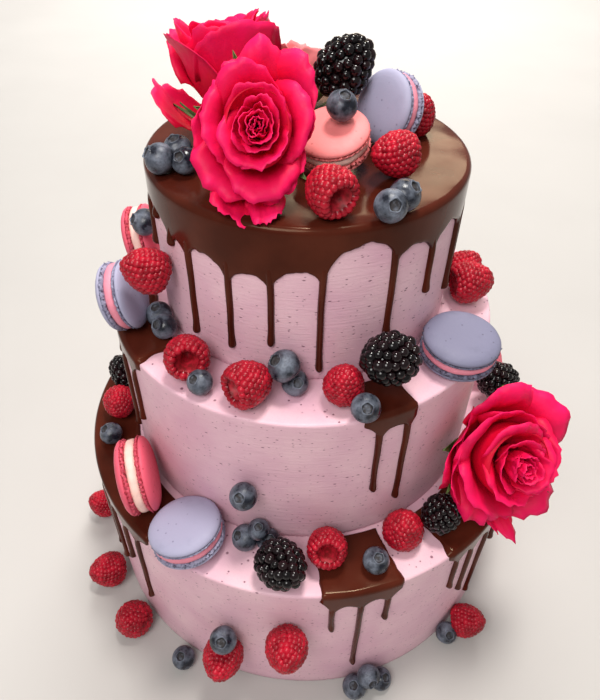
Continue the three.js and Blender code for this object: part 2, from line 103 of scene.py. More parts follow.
# Rows of a tier: points round it, step on the wall, round of the foot, and where the rows of its base
# and top lie in parts of its radius; then how quickly the ripple of its wall changes along each axis
TIER_SEGMENTS = 192
TIER_ROW_STEP = 3.0
TIER_FOOT = 0.6
TIER_BASE_ROW = 0.6
TIER_RIM_STEPS = 5
TIER_TOP_ROWS = (0.93, 0.84, 0.7, 0.5, 0.25, 0.0)
RIPPLE_SCALE = (22, 22, 55)

# Drips of the ganache: bearing in degrees, drop below the rim, depth of the curtain beside it
TOP_DRIPS = (
    (-74, 44, 14), (-62, 20, 12), (-51, 27, 20), (-41.6, 72, 22), (-25, 70, 26), (-10.4, 63, 25),
    (6.2, 78, 22), (30.3, 62, 17), (47.3, 47, 20), (66, 60, 20),
)

# Drips round the back, drawn by a small generator like that of the part's source
BACK_DRIPS = {
    "start": 84, "step": 17, "jitter": 0.3, "count": 12, "shortest": 26, "longest": 76, "curtain": 19,
}
BACK_DRIP_SEED = 7
DRAW_FACTOR = 16807
DRAW_LIMIT = 2147483647
GANACHE_SHEEN = (1.0, 0.8, 0.54)

# Patches of ganache on the ledges: node, tier, bearings from and to, inner radius, drips
PATCHES = (
    ("ganache_middle_left", "middle", -82, -50, 84, ((-75, 30, 9), (-64, 71, 9), (-55, 50, 8))),
    ("ganache_middle_right", "middle", 16.5, 32, 84, ((21.3, 58, 9), (29.6, 72, 8))),
    ("ganache_bottom_left", "bottom", -98, -38, 111.2,
     ((-90, 40, 8), (-76, 62, 9), (-64, 84, 9), (-56, 72, 9), (-49, 49, 9), (-43.5, 80, 9))),
    ("ganache_bottom_front", "bottom", 4, 23, 105, ((7, 38, 11), (13.5, 88, 11), (19.7, 36, 9))),
    ("ganache_bottom_right", "bottom", 36, 64, 107,
     ((38.8, 42, 7), (44.2, 60, 8), (51, 84, 9), (59, 46, 8))),
)

# Toppings: node, size in millimetres, and the bearing and elevation that the piece faces; a macaron
# has its look too
RASPBERRIES = (
    ("raspberry_top_front", 22, (-150, 5)),
    ("raspberry_top_right", 21, (-70, 8)),
    ("raspberry_top_back", 20, (60, 70)),
    ("raspberry_middle_left", 23, (-70, 30)),
    ("raspberry_middle_front", 23, (130, -5)),
    ("raspberry_middle_tip", 20, (20, 76)),
    ("raspberry_bottom_left", 21, (20, 5)),
    ("raspberry_bottom_front", 22, (180, -30)),
    ("raspberry_bottom_tip", 23, (20, 78)),
    ("raspberry_under_rose", 22, (80, 5)),
    ("raspberry_foot_left", 21, (-80, 40)),
    ("raspberry_foot_corner", 24, (-60, 25)),
    ("raspberry_foot_front", 24, (-40, 60)),
    ("raspberry_wall_front", 24, (0, 25)),
)
BRAMBLES = (
    ("bramble_top", 27, (80, 52)),
    ("bramble_middle", 26, (-60, 22)),
    ("bramble_bottom_left", 23, (-60, 70)),
    ("bramble_bottom_front", 26, (40, 24)),
    ("bramble_bottom_right", 22, (20, 80)),
    ("bramble_right", 24, (95, 6)),
)
BLUEBERRIES = (
    ("blueberry_macaron", 13.8, (20, 60)),
    ("blueberry_middle_left", 15, (-60, 30)),
    ("blueberry_middle_front", 14, (0, 45)),
    ("blueberry_bottom_left", 14, (-60, 60)),
    ("blueberry_wall", 14.5, (-20, 45)),
    ("blueberry_bottom_front", 14.4, (20, 70)),
    ("blueberry_foot", 14.6, (-30, 70)),
)
MACARONS = (
    ("macaron_pink_top", "pink_light", 35, (-25, 71)),
    ("macaron_lilac_top", "lilac", 35, (-52, 20)),
    ("macaron_pink_middle", "pink", 39, (95, 12)),
    ("macaron_lilac_middle", "lilac", 37, (90, 15)),
    ("macaron_lilac_right", "lilac_deep", 40, (20, 85)),
    ("macaron_pink_bottom", "pink", 44, (105, 6)),
    ("macaron_lilac_bottom", "lilac", 41, (-116, 78)),
    ("macaron_pink_right", "pink", 40, (78, 30)),
)

# Berries that press against each other: node, then each berry's kind, bearing, distance out from the
# axis, lift, size and facing.
JOINED = (
    ("blueberries_top_left", (
        ("blueberry", -64.1, 75.6, 0, 14.2, (-70, 35)),
        ("blueberry", -69.5, 65.7, 0, 13.8, (-30, 70)),
        ("blueberry", -59.8, 65.7, -0.6, 12.4, (-20, 40)))),
    ("blueberries_top_right", (
        ("blueberry", 24.9, 77.5, 0, 14, (10, 30)),
        ("blueberry", 32.7, 72.5, 0, 14, (60, 50)))),
    ("blueberries_middle_left", (
        ("blueberry", -63.2, 87.6, 0, 13.8, (-20, 70)),
        ("blueberry", -56, 88.6, 0, 13.6, (-40, 40)))),
    ("blueberries_middle_front", (
        ("blueberry", -6.6, 86.2, 11, 15.8, (-60, 50)),
        ("blueberry", -3.2, 85.4, 0, 13.2, (20, 40)))),
    ("berries_middle_corner", (
        ("raspberry", -37.6, 93.4, 5, 23, (-170, -20)),
        ("blueberry", -29.5, 100.3, 0, 12.8, (-40, 50)))),
    ("raspberries_middle_right", (
        ("raspberry", 84.6, 93, 0.5, 24, (100, 6)),
        ("raspberry", 93.4, 90.5, 0, 22, (110, 40)))),
    ("blueberries_bottom_front", (
        ("blueberry", -15, 116.5, 0.6, 14.8, (-60, 50)),
        ("blueberry", -11.4, 114.2, 8, 12, (0, 70)),
        ("blueberry", -8.7, 114.6, 0, 13.1, (20, 60)))),
    ("berries_wall_front", (
        ("raspberry", -16.3, 155, 0, 24, (-10, 10)),
        ("blueberry", -16.1, 151, 18.2, 15.4, (-5, 55)))),
    ("blueberries_foot", (
        ("blueberry", 14.1, 151, 0.3, 15, (-30, 70)),
        ("blueberry", 17.4, 150.4, 8.8, 14.4, (20, 25)),
        ("blueberry", 20.7, 151, 0, 14, (60, 60)))),
    ("berries_foot_right", (
        ("raspberry", 47.2, 155.1, 5, 22, (80, 20)),
        ("blueberry", 41.6, 149.4, 0, 14, (10, 50)))),
    ("berries_back_middle", (
        ("raspberry", 172, 95.5, 5, 23, (180, 50)),
        ("blueberry", 181.2, 94, 0, 14, (190, 50)),
        ("blueberry", 163.2, 95, 0, 13.6, (150, 40)))),
    ("berries_back_bottom", (
        ("raspberry", -150, 123, 5, 23, (-150, 60)),
        ("blueberry", -142.6, 122, 0, 14.4, (-140, 50)),
        ("raspberry", -159.6, 123, 5, 22, (-170, 10)))),
)

# Berry outlines as radius and height in parts of the berry's size, from the hollow or the base to the
# tip, and rings of drupelets as radius, height and count
RASPBERRY_CORE = ((0.0, 0.2), (0.1, 0.05), (0.19, -0.28), (0.31, -0.4), (0.42, -0.36), (0.44, -0.1),
                  (0.37, 0.16), (0.22, 0.36), (0.0, 0.45))
RASPBERRY_RINGS = (
    (0.35, -0.41, 17), (0.415, -0.33, 20), (0.445, -0.225, 22), (0.45, -0.12, 22), (0.435, -0.015, 21),
    (0.405, 0.085, 20), (0.36, 0.18, 18), (0.3, 0.27, 15), (0.23, 0.35, 11), (0.145, 0.42, 7),
    (0.05, 0.46, 3))
BRAMBLE_CORE = ((0.0, -0.46), (0.26, -0.44), (0.4, -0.2), (0.39, 0.08), (0.25, 0.38), (0.0, 0.54))
BRAMBLE_RINGS = (
    (0.14, -0.45, 5), (0.275, -0.385, 9), (0.365, -0.26, 12), (0.4, -0.1, 13), (0.39, 0.06, 13),
    (0.345, 0.2, 12), (0.275, 0.33, 9), (0.185, 0.43, 6), (0.075, 0.505, 3))
CORE_SEGMENTS = 24
HOLLOW_ROWS = 4

# One drupelet: its dome and its foot in parts of its own radius, and its tone; the foot's tone of 0 paints
# shade between raspberry drupelets
DRUPELET_OUTLINE = ((1.0, 0.0), (0.9, 0.45), (0.6, 0.8), (0.0, 1.0))
DRUPELET_SEGMENTS = 9
DRUPELET_FOOT = -0.9
DRUPELET_NARROW = 0.8
DRUPELET_TONE = 0.55
DRUPELET_TONE_SPAN = 0.45

# A berry's drupelets: radius in parts of its size, how far they stand out in parts of their own radius,
# and how uneven they are
RASPBERRY_DRUPELETS = (0.088, -0.42, 0.18)
BRAMBLE_DRUPELETS = (0.108, 0.0, 0.16)

# Blueberry outline in parts of its size: a round body, then the lobed crown and its sunken eye
BLUEBERRY_SEGMENTS = 40
BLUEBERRY_ROWS = 18
BLUEBERRY_REACH = 0.9
BLUEBERRY_SQUASH = (0.9, 0.96)
BLUEBERRY_BULGE = 0.02
BLUEBERRY_BULGES = 3
BLUEBERRY_CROWN = ((0.212, 0.45), (0.205, 0.478), (0.187, 0.481), (0.168, 0.45), (0.15, 0.415))
BLUEBERRY_EYE = ((0.108, 0.402), (0.06, 0.408), (0.03, 0.426), (0.0, 0.43))
CROWN_LOBES = 5
CROWN_LIP_ROWS = 3
CROWN_FLARE = 0.08
CROWN_LIFT = 0.012
CROWN_DIP = -0.4
CROWN_TONE = 0.3

# Seeds of the single berries, of the joined ones, and the step from one joined group to the next
SINGLE_SEED = 100
JOINED_SEED = 400
JOINED_SEED_STEP = 10

# Macaron outlines as radius and height in parts of its size: one shell from its middle to the inner
# edge of its foot, and the filling
MACARON_SHELL = (
    (0.0, 0.225), (0.16, 0.223), (0.28, 0.217), (0.37, 0.205), (0.43, 0.186), (0.468, 0.16),
    (0.484, 0.134), (0.482, 0.118), (0.466, 0.11), (0.47, 0.101), (0.482, 0.092), (0.484, 0.08),
    (0.476, 0.069), (0.456, 0.062), (0.4, 0.062))
FOOT_ROW = 9
MACARON_FILLING = (
    (0.38, -0.064), (0.445, -0.06), (0.466, -0.032), (0.47, 0.0), (0.466, 0.032), (0.445, 0.06),
    (0.38, 0.064))
MACARON_SEGMENTS = 220

# Macaron surface: dents of the shell, ruffles of the foot and the painted shade in its crevices, and bulges
# of the filling
MACARON_SEED_STEP = 7.3
UNDER_SHELL_TURN = 2.1
SHELL_SHADE, SHELL_SHADE_POWER = 0.5, 1.7
SHELL_DENT, SHELL_DENTS = 0.006, 4
RUFFLES, RUFFLE_STEP = 15, 1.1
RUFFLE_NOISE = (0.8, 2.2, 4)
RUFFLE_PUSH, RUFFLE_LIFT = 0.06, 0.03
# Painted shade on the foot: darker just under the shell's edge, and speckled over the ruffles
FOOT_EDGE_SHADE, FOOT_SHADE = 0.8, 0.35
FOOT_SHADE_SPECKLE, FOOT_SHADE_SPECKS = 0.9, 34
FILLING_BULGE, FILLING_BULGES, FILLING_STEP = 0.02, 3, 0.5

# Rose petal rings, from the heart out: petals, lip radius and height, half width in degrees, curl of
# the lip and point of its tip, in parts of the rose's radius
FULL_BLOOM = (
    (2, 0.05, 0.66, 120, 0.0, 0.0),
    (3, 0.1, 0.67, 105, 0.0, 0.0),
    (3, 0.16, 0.67, 95, 0.005, 0.0),
    (3, 0.23, 0.66, 88, 0.01, 0.01),
    (3, 0.34, 0.62, 82, 0.03, 0.02),
    (3, 0.5, 0.56, 78, 0.07, 0.04),
    (4, 0.7, 0.42, 62, 0.12, 0.06),
    (5, 0.86, 0.22, 50, 0.14, 0.07),
)
TALL_CUP = (
    (2, 0.1, 0.42, 110, 0.0, 0.0),
    (3, 0.25, 0.5, 90, 0.01, 0.0),
    (3, 0.42, 0.56, 80, 0.02, 0.02),
    (3, 0.6, 0.62, 72, 0.03, 0.03),
    (4, 0.76, 0.66, 64, 0.05, 0.04),
    (4, 0.88, 0.6, 60, 0.08, 0.06),
)
OUTER_RINGS = 2
PETAL_COLUMNS = 26
PETAL_ROWS = 14

# Turn from ring to ring, and how far a petal's bearing, reach, height and width vary
GOLDEN_TURN = 137.5
PETAL_SHIFT = 0.18
PETAL_REACH = 0.1
PETAL_LIFT = 0.07
PETAL_WIDTH = 0.12

# Feet and bellies of inner and outer petals: how far out, the belly's bulge, and how far below the lip
INNER_FOOT_OUT, INNER_FOOT_DROP = 0.35, 0.6
INNER_BELLY_OUT, INNER_BELLY_BULGE, INNER_BELLY_DROP = 0.8, 0.02, 0.4
OUTER_FOOT_OUT, OUTER_FOOT_DEEP = 0.1, -0.52
OUTER_BELLY_OUT, OUTER_BELLY_BULGE = 0.84, 0.08
OUTER_BELLY_DROP, OUTER_BELLY_DEEP = 0.3, 0.34

# Sepals, in parts of the rose's radius
SEPAL_BEARINGS = (-50, 56, 128, 200, 262)
SEPAL_SHIFT = 8
SEPAL_ROWS, SEPAL_COLUMNS = 8, 4
SEPAL_WIDE, SEPAL_NECK, SEPAL_TAPER = 0.2, 0.12, 0.5
SEPAL_FROM, SEPAL_REACH = 0.16, 0.94
SEPAL_BASE, SEPAL_RISE, SEPAL_BOW = -0.58, 0.62, 1.5
SEPAL_DROOP = (-0.1, 0.15)
SEPAL_FOLD = 0.03

# The cup behind the petals with its painted shade, petals that stand out, and the calyx
CUP_SEGMENTS = 40
CUP = ((0.0, -0.5), (0.3, -0.42), (0.48, -0.2), (0.54, 0.05), (0.56, 0.3), (0.5, 0.42))
CUP_SHADE = 0.2
STRAY_CURL = 0.05
STRAY_POINT = 0.03
CALYX_SEGMENTS = 20
CALYX = ((0.0, -0.7), (0.12, -0.68), (0.2, -0.6), (0.24, -0.52), (0.2, -0.45), (0.0, -0.42))

# Roses: node, slot, bearing, distance out and height, size in millimetres, facing, how deep it is
# below its middle, its stretch across and along, petal rings, seed, and petals that hang or stand out
# as bearing, lip radius, lip height and half width
TOPPING_AXIS = (-1.0, 3.0)
ROSES = (
    ("rose_top_front", "rose", (-22.5, 57, 321), 50, (4, 28), 1, (0.95, 1.12), FULL_BLOOM, 3,
     ((-20, 1.3, 0.32, 23), (10, 1.2, 0.3, 20))),
    ("rose_top_back", "rose", (-88, 39, 331), 54, (-140, 78), 2, (1.0, 1.0), TALL_CUP, 11,
     ((-95, 1.18, -0.2, 34),)),
    ("rose_top_rear", "rose_pale", (-168, 39, 307), 44, (170, 48), 1, (1.0, 1.0), TALL_CUP, 19, ()),
    ("rose_side", "rose", (53, 136, 157), 70, (16, 30), 1, (0.96, 1.02), FULL_BLOOM, 27,
     ((16, 1.28, 0.0, 15), (-75, 0.95, 0.3, 46))),
)


def linear(red, green, blue):
    """A display colour from 0 to 255 as the linear colour that shaders use."""
    def channel(value):
        part = value / 255
        if part <= 0.04045:
            return part / 12.92
        return ((part + 0.055) / 1.055) ** 2.4
    return channel(red), channel(green), channel(blue)


def length(name, description, default):
    return bpy.props.FloatProperty(name=name, description=description, default=default, unit="LENGTH")


def colour(name, description, red, green, blue):
    return bpy.props.FloatVectorProperty(
        name=name, description=description, default=linear(red, green, blue), subtype="COLOR", min=0, max=1)


class CakeSizes(bpy.types.PropertyGroup):
    """Sizes of the details that a maker would change."""

    rim_round: length("Rim round", "Radius of the icing's rim", 1.6 * MM)
    icing_ripple: length("Icing ripple", "Unevenness of the scraped walls", 0.25 * MM)
    glaze: length("Glaze", "Depth of the poured ganache", 2.2 * MM)
    curtain: length("Curtain", "Depth of ganache on the walls", 1.5 * MM)
    drip_width: length("Drip width", "Width of one drip", 3.6 * MM)
    drip_depth: length("Drip depth", "How far a drip stands off the wall", 2.5 * MM)
    petal: length("Petal", "Thickness of a rose petal", 0.35 * MM)


class CakeColours(bpy.types.PropertyGroup):
    """Colours of the cake's finishes."""

    icing: colour("Icing", "Buttercream", 234, 194, 204)
    icing_shade: colour("Icing shade", "Buttercream in its drag lines", 218, 168, 188)
    # Painted shade in the small pits of the buttercream
    icing_pit: colour("Icing pit", "Small pits in the buttercream", 116, 66, 88)
    ganache: colour("Ganache", "Poured chocolate", 64, 23, 15)
    ganache_thin: colour("Thin ganache", "Chocolate where it is thin", 82, 34, 23)
    raspberry: colour("Raspberry", "Raspberry drupelets", 194, 25, 49)
    # Darker raspberry for random patches, and also the painted shade between the drupelets and on the core
    raspberry_deep_and_gap_shade: colour("Deep raspberry", "Raspberry between drupelets", 108, 6, 18)
    raspberry_core: colour("Raspberry core", "Wall of the raspberry's hollow", 128, 14, 20)
    blueberry: colour("Blueberry", "Blueberry skin without bloom", 22, 25, 36)
    bloom: colour("Bloom", "Waxy bloom on the blueberry", 112, 119, 133)
    crown: colour("Crown", "Inside of the blueberry's crown", 46, 42, 44)
    bramble: colour("Bramble", "Bramble drupelets", 8, 4, 6)
    bramble_red: colour("Red bramble", "Less ripe bramble drupelets", 26, 8, 12)
    pink_shell: colour("Pink shell", "Pink macaron shell", 224, 90, 112)
    pink_filling: colour("Pink filling", "Filling of the pink macarons", 252, 208, 196)
    pink_light_shell: colour("Light pink shell", "Paler pink macaron shell", 246, 140, 140)
    lilac_shell: colour("Lilac shell", "Lilac macaron shell", 162, 160, 186)
    lilac_deep_shell: colour("Deep lilac shell", "Deeper lilac macaron shell", 122, 121, 145)
    lilac_filling: colour("Lilac filling", "Filling of the lilac macarons", 232, 140, 160)
    rose: colour("Rose", "Rose petals", 216, 5, 50)
    # Painted highlight: lighter, pinker lips of the rose petals
    rose_lip_highlight: colour("Rose lip", "Lips of the rose petals", 242, 24, 100)
    rose_pale: colour("Pale rose", "Petals of the pale rose", 236, 116, 122)
    # Painted highlight: lighter lips of the pale petals
    rose_pale_lip_highlight: colour("Pale rose lip", "Lips of the pale petals", 244, 146, 148)
    sepal: colour("Sepal", "Rose sepals", 92, 120, 60)
    floor: colour("Floor", "Plain floor", 184, 181, 178)


def sizes():
    return bpy.context.scene.cake_sizes


def colours():
    return bpy.context.scene.cake_colours


def on_bearing(bearing, out, height):
    """A point at a bearing from the front, a distance out from the axis and a height."""
    angle = math.radians(bearing)
    return Vector((out * math.sin(angle), -out * math.cos(angle), height))


def facing_turn(facing):
    """Turns +Z to a bearing from the front and an elevation."""
    tilt = math.radians(facing[1])
    aim = on_bearing(facing[0], math.cos(tilt), math.sin(tilt))
    return Vector((0, 0, 1)).rotation_difference(aim).to_matrix()


def clamp(value):
    return min(max(value, 0.0), 1.0)


def smooth_step(low, high, value):
    part = clamp((value - low) / (high - low))
    return part * part * (3 - 2 * part)


def lerp(start, end, part):
    return start + (end - start) * part


def around(draw, middle, reach):
    return draw.uniform(middle - reach, middle + reach)


def quarter(steps, first=0):
    """Angles of a quarter turn in equal steps."""
    return [math.pi / 2 * step / steps for step in range(first, steps + 1)]


def scaled(profile, size):
    return [(radius * size, height * size) for radius, height in profile]


class Skin:
    """The points, faces and tones of one piece, gathered from its parts."""

    def __init__(self):
        self.points = []
        self.tones = []
        self.faces = []
        self.finishes = []

    def add_rows(self, rows, finish=0, tones=None, is_ring=True):
        """Joins rows of points by faces. A row of one point is a pole."""
        starts = []
        for index, row in enumerate(rows):
            starts.append(len(self.points))
            self.points.extend(row)
            self.tones.extend(tones[index] if tones else [0.0] * len(row))
        for index in range(len(rows) - 1):
            lower, upper = len(rows[index]), len(rows[index + 1])
            self._join(starts[index], lower, starts[index + 1], upper, finish, is_ring)

    def _join(self, low, lower, high, upper, finish, is_ring):
        count = max(lower, upper)
        for here in range(count if is_ring else count - 1):
            there = (here + 1) % count
            if lower == 1:
                face = (low, high + there, high + here)
            elif upper == 1:
                face = (low + here, low + there, high)
            else:
                face = (low + here, low + there, high + there, high + here)
            self.faces.append(face)
            self.finishes.append(finish)

    def add_skin(self, other, matrix):
        """Adds another skin, moved by the matrix."""
        start = len(self.points)
        self.points.extend(matrix @ point for point in other.points)
        self.tones.extend(other.tones)
        self.faces.extend(tuple(start + corner for corner in face) for face in other.faces)
        self.finishes.extend(other.finishes)


def lathe(profile, segments, shape=None):
    """Rows of points round +Z for a profile of radius and height; shape may move each point."""
    rows = []
    for index, (radius, height) in enumerate(profile):
        if radius == 0:
            rows.append([Vector((0, 0, height))])
            continue
        row = []
        for step in range(segments):
            angle = 2 * math.pi * step / segments
            point = Vector((radius * math.cos(angle), radius * math.sin(angle), height))
            row.append(shape(point, angle, index) if shape else point)
        rows.append(row)
    return rows


def make_object(name, skin, materials):
    mesh = bpy.data.meshes.new(name)
    mesh.from_pydata([tuple(point) for point in skin.points], [], skin.faces)
    for material in materials:
        mesh.materials.append(material)
    mesh.polygons.foreach_set("material_index", skin.finishes)
    mesh.polygons.foreach_set("use_smooth", [True] * len(mesh.polygons))
    tone = mesh.attributes.new("tone", "FLOAT", "POINT")
    tone.data.foreach_set("value", skin.tones)
    mesh.update()
    piece = bpy.data.objects.new(name, mesh)
    bpy.context.scene.collection.objects.link(piece)
    return piece


def dress_node(piece, node, slot):
    """The piece rides on the cake and stands for its CAD node, which it hides. The slot is not used."""
    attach(piece, BODY)
    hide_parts(node)


def box_centre(points):
    low = Vector(min(point[axis] for point in points) for axis in range(3))
    high = Vector(max(point[axis] for point in points) for axis in range(3))
    return (low + high) / 2


def put_on_node(piece, node, turn):
    """Turns the piece and sets its box on the middle of its node's box."""
    low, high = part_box(node)
    piece.data.transform(turn.to_4x4())
    piece.location = (low + high) / 2 - box_centre([vertex.co for vertex in piece.data.vertices])


def group_tree(name, inputs, outputs):
    """A new shader node group with its sockets, its input node and its output node."""
    tree = bpy.data.node_groups.new(name, "ShaderNodeTree")
    for label, kind, default in inputs:
        socket = tree.interface.new_socket(label, in_out="INPUT", socket_type="NodeSocket" + kind)
        socket.default_value = default
    for label, kind in outputs:
        tree.interface.new_socket(label, in_out="OUTPUT", socket_type="NodeSocket" + kind)
    return tree, tree.nodes.new("NodeGroupInput"), tree.nodes.new("NodeGroupOutput")


def wire(tree, links):
    """Joins sockets. A link is a node and its output, then a node and its input."""
    for node, output, other, socket in links:
        tree.links.new(node.outputs[output], other.inputs[socket])


def mottle_group():
    """Soft patches of two colours, for skins that vary from place to place."""
    name = "Mottle"
    if name in bpy.data.node_groups:
        return bpy.data.node_groups[name]
    tree, source, sink = group_tree(
        name,
        (("Vector", "Vector", (0, 0, 0)), ("Scale", "Float", 100.0), ("Low", "Float", 0.35),
         ("High", "Float", 0.65), ("First", "Color", (1, 1, 1, 1)), ("Second", "Color", (0, 0, 0, 1))),
        (("Color", "Color"), ("Mask", "Float")))
    clouds = tree.nodes.new("ShaderNodeTexNoise")
    clouds.inputs["Detail"].default_value = 4
    spread = tree.nodes.new("ShaderNodeMapRange")
    mix = tree.nodes.new("ShaderNodeMix")
    mix.data_type = "RGBA"
    wire(tree, (
        (source, "Vector", clouds, "Vector"), (source, "Scale", clouds, "Scale"),
        (clouds, "Fac", spread, "Value"),
        (source, "Low", spread, "From Min"), (source, "High", spread, "From Max"),
        (spread, "Result", mix, "Factor"),
        (source, "First", mix, "A"), (source, "Second", mix, "B"),
        (mix, "Result", sink, "Color"), (spread, "Result", sink, "Mask")))
    return tree


def pits_group():
    """A mask of small scattered pits or specks."""
    name = "Pits"
    if name in bpy.data.node_groups:
        return bpy.data.node_groups[name]
    tree, source, sink = group_tree(
        name,
        (("Vector", "Vector", (0, 0, 0)), ("Scale", "Float", 200.0), ("Size", "Float", 0.2),
         ("Share", "Float", 0.3)),
        (("Mask", "Float"),))
    cells = tree.nodes.new("ShaderNodeTexVoronoi")
    parts = tree.nodes.new("ShaderNodeSeparateColor")
    chosen = tree.nodes.new("ShaderNodeMath")
    chosen.operation = "LESS_THAN"
    pit = tree.nodes.new("ShaderNodeMapRange")
    for socket, value in (("From Min", 0), ("To Min", 1), ("To Max", 0)):
        pit.inputs[socket].default_value = value
    both = tree.nodes.new("ShaderNodeMath")
    both.operation = "MULTIPLY"
    wire(tree, (
        (source, "Vector", cells, "Vector"), (source, "Scale", cells, "Scale"),
        (cells, "Color", parts, "Color"),
        (parts, "Red", chosen, 0), (source, "Share", chosen, 1),
        (cells, "Distance", pit, "Value"), (source, "Size", pit, "From Max"),
        (pit, "Result", both, 0), (chosen, "Value", both, 1),
        (both, "Value", sink, "Mask")))
    return tree


class Finish:
    """A material and the short ways to wire it."""

    NOISE_LOW, NOISE_HIGH = 0.3, 0.7

    def __init__(self, name, base, roughness, shine=0.5):
        self.material = bpy.data.materials.new(name)
        self.material.use_nodes = True
        self.material.diffuse_color = (*base, 1)
        self.tree = self.material.node_tree
        self.shader = self.tree.nodes["Principled BSDF"]
        self.set("Base Color", (*base, 1))
        self.set("Roughness", roughness)
        self.set("Specular IOR Level", shine)
        self.coordinates = self.node("TexCoord")

    def set(self, socket, value):
        self.shader.inputs[socket].default_value = value

    def node(self, kind, **values):
        made = self.tree.nodes.new("ShaderNode" + kind)
        for name, value in values.items():
            setattr(made, name, value)
        return made

    def link(self, output, socket):
        self.tree.links.new(output, socket)

    def feed(self, output, socket):
        self.link(output, self.shader.inputs[socket])

    def stretched(self, scale):
        mapping = self.node("Mapping")
        mapping.inputs["Scale"].default_value = scale
        self.link(self.coordinates.outputs["Object"], mapping.inputs["Vector"])
        return mapping.outputs["Vector"]

    def group(self, tree, vector=None, **values):
        made = self.node("Group", node_tree=tree)
        self.link(vector or self.coordinates.outputs["Object"], made.inputs["Vector"])
        for name, value in values.items():
            made.inputs[name].default_value = value
        return made

    def mottle(self, first, second, scale, low=0.35, high=0.65, vector=None):
        return self.group(mottle_group(), vector, Scale=scale, Low=low, High=high,
                          First=(*first, 1), Second=(*second, 1))

    def pits(self, scale, size, share, vector=None):
        return self.group(pits_group(), vector, Scale=scale, Size=size, Share=share)

    def noise(self, scale, detail=4.0, vector=None):
        made = self.node("TexNoise")
        made.inputs["Scale"].default_value = scale
        made.inputs["Detail"].default_value = detail
        self.link(vector or self.coordinates.outputs["Object"], made.inputs["Vector"])
        return made.outputs["Fac"]

    def tone(self):
        return self.node("Attribute", attribute_name="tone").outputs["Fac"]

    def spread(self, value, low, high, start=0.0, end=1.0):
        made = self.node("MapRange")
        self.link(value, made.inputs["Value"])
        for name, number in zip(("From Min", "From Max", "To Min", "To Max"), (low, high, start, end)):
            made.inputs[name].default_value = number
        return made.outputs["Result"]

    def vary_roughness(self, scale, low, high):
        self.feed(self.spread(self.noise(scale), self.NOISE_LOW, self.NOISE_HIGH, low, high), "Roughness")

    def mix(self, factor, first, second):
        """Mixes two colours; each is a colour or an output."""
        made = self.node("Mix", data_type="RGBA")
        self.link(factor, made.inputs["Factor"])
        for socket, value in (("A", first), ("B", second)):
            if isinstance(value, bpy.types.NodeSocket):
                self.link(value, made.inputs[socket])
            else:
                made.inputs[socket].default_value = (*value, 1)
        return made.outputs["Result"]

    def add(self, first, second, weight):
        """first plus second times weight."""
        made = self.node("Math", operation="MULTIPLY_ADD")
        self.link(second, made.inputs[0])
        made.inputs[1].default_value = weight
        self.link(first, made.inputs[2])
        return made.outputs["Value"]

    def bump(self, height, depth, strength=1.0):
        made = self.node("Bump")
        made.inputs["Strength"].default_value = strength
        made.inputs["Distance"].default_value = depth
        self.link(height, made.inputs["Height"])
        self.feed(made.outputs["Normal"], "Normal")


def icing_finish():
    """Buttercream: drag lines along the wall, soft patches, and small pits darkened with painted shade."""
    tint = colours()
    made = Finish("buttercream", tint.icing, 0.5)
    drag = made.noise(1.0, 6.0, made.stretched((90, 90, 900)))
    lines = made.spread(drag, 0.35, 0.68)
    patches = made.mottle(tint.icing, tint.icing_shade, 40, 0.3, 0.8).outputs["Color"]
    scraped = made.mix(made.spread(drag, 0.4, 0.75, 0, 0.24), patches, tint.icing_shade)
    crumbs = made.spread(made.noise(1300, 3.0), 0.5, 0.8, 0, 0.45)
    grain = made.mix(crumbs, scraped, tint.icing_shade)
    dashes = made.pits(1.0, 0.24, 0.34, made.stretched((330, 330, 900))).outputs["Mask"]
    specks = made.pits(1.0, 0.2, 0.3, made.stretched((170, 170, 400))).outputs["Mask"]
    pits = made.add(dashes, specks, 1.0)
    # The pits are darkened to the pit colour: painted shade in them
    made.feed(made.mix(made.spread(pits, 0.12, 0.5, 0, 0.85), grain, tint.icing_pit), "Base Color")
    made.feed(made.spread(lines, 0, 1, 0.42, 0.6), "Roughness")
    made.bump(made.add(lines, pits, -3.0), 0.15 * MM, 0.6)
    return made.material


def ganache_finish():
    tint = colours()
    made = Finish("ganache", tint.ganache, 0.15, shine=0.16)
    made.set("Specular Tint", (*GANACHE_SHEEN, 1))
    patches = made.mottle(tint.ganache, tint.ganache_thin, 36)
    made.feed(patches.outputs["Color"], "Base Color")
    made.vary_roughness(90, 0.11, 0.2)
    made.bump(made.noise(60, 2.0), 0.25 * MM, 0.25)
    return made.material


def raspberry_finish():
    tint = colours()
    made = Finish("raspberry_skin", tint.raspberry, 0.3, shine=0.3)
    # Random darker patches; then painted shade where the tone is low, at the drupelets' feet and on the
    # core between them
    skin = made.mottle(tint.raspberry, tint.raspberry_deep_and_gap_shade, 150, 0.35, 0.8)
    made.feed(made.mix(made.tone(), tint.raspberry_deep_and_gap_shade, skin.outputs["Color"]), "Base Color")
    made.vary_roughness(700, 0.18, 0.36)
    made.bump(made.noise(1500, 2.0), 0.05 * MM, 0.4)
    return made.material


def dimmed(base, share):
    return [share * part for part in base]


def mottled_finish(name, base, other, roughness, patches, grain=None):
    """Patches of two colours, as scale, low and high, on a grain of scale, detail, depth and strength."""
    made = Finish(name, base, roughness)
    made.feed(made.mottle(base, other, *patches).outputs["Color"], "Base Color")
    if grain:
        scale, detail, depth, strength = grain
        made.bump(made.noise(scale, detail), depth * MM, strength)
    return made.material


def raspberry_core_finish():
    tint = colours()
    return mottled_finish(
        "raspberry_core", tint.raspberry_core, tint.raspberry, 0.55, (420,), (600, 3.0, 0.3, 0.7))


def bramble_finish():
    tint = colours()
    made = Finish("bramble_skin", tint.bramble, 0.1, shine=0.4)
    skin = made.mix(made.spread(made.tone(), 0.7, 1.0), tint.bramble, tint.bramble_red)
    made.feed(skin, "Base Color")
    made.vary_roughness(500, 0.03, 0.08)
    return made.material


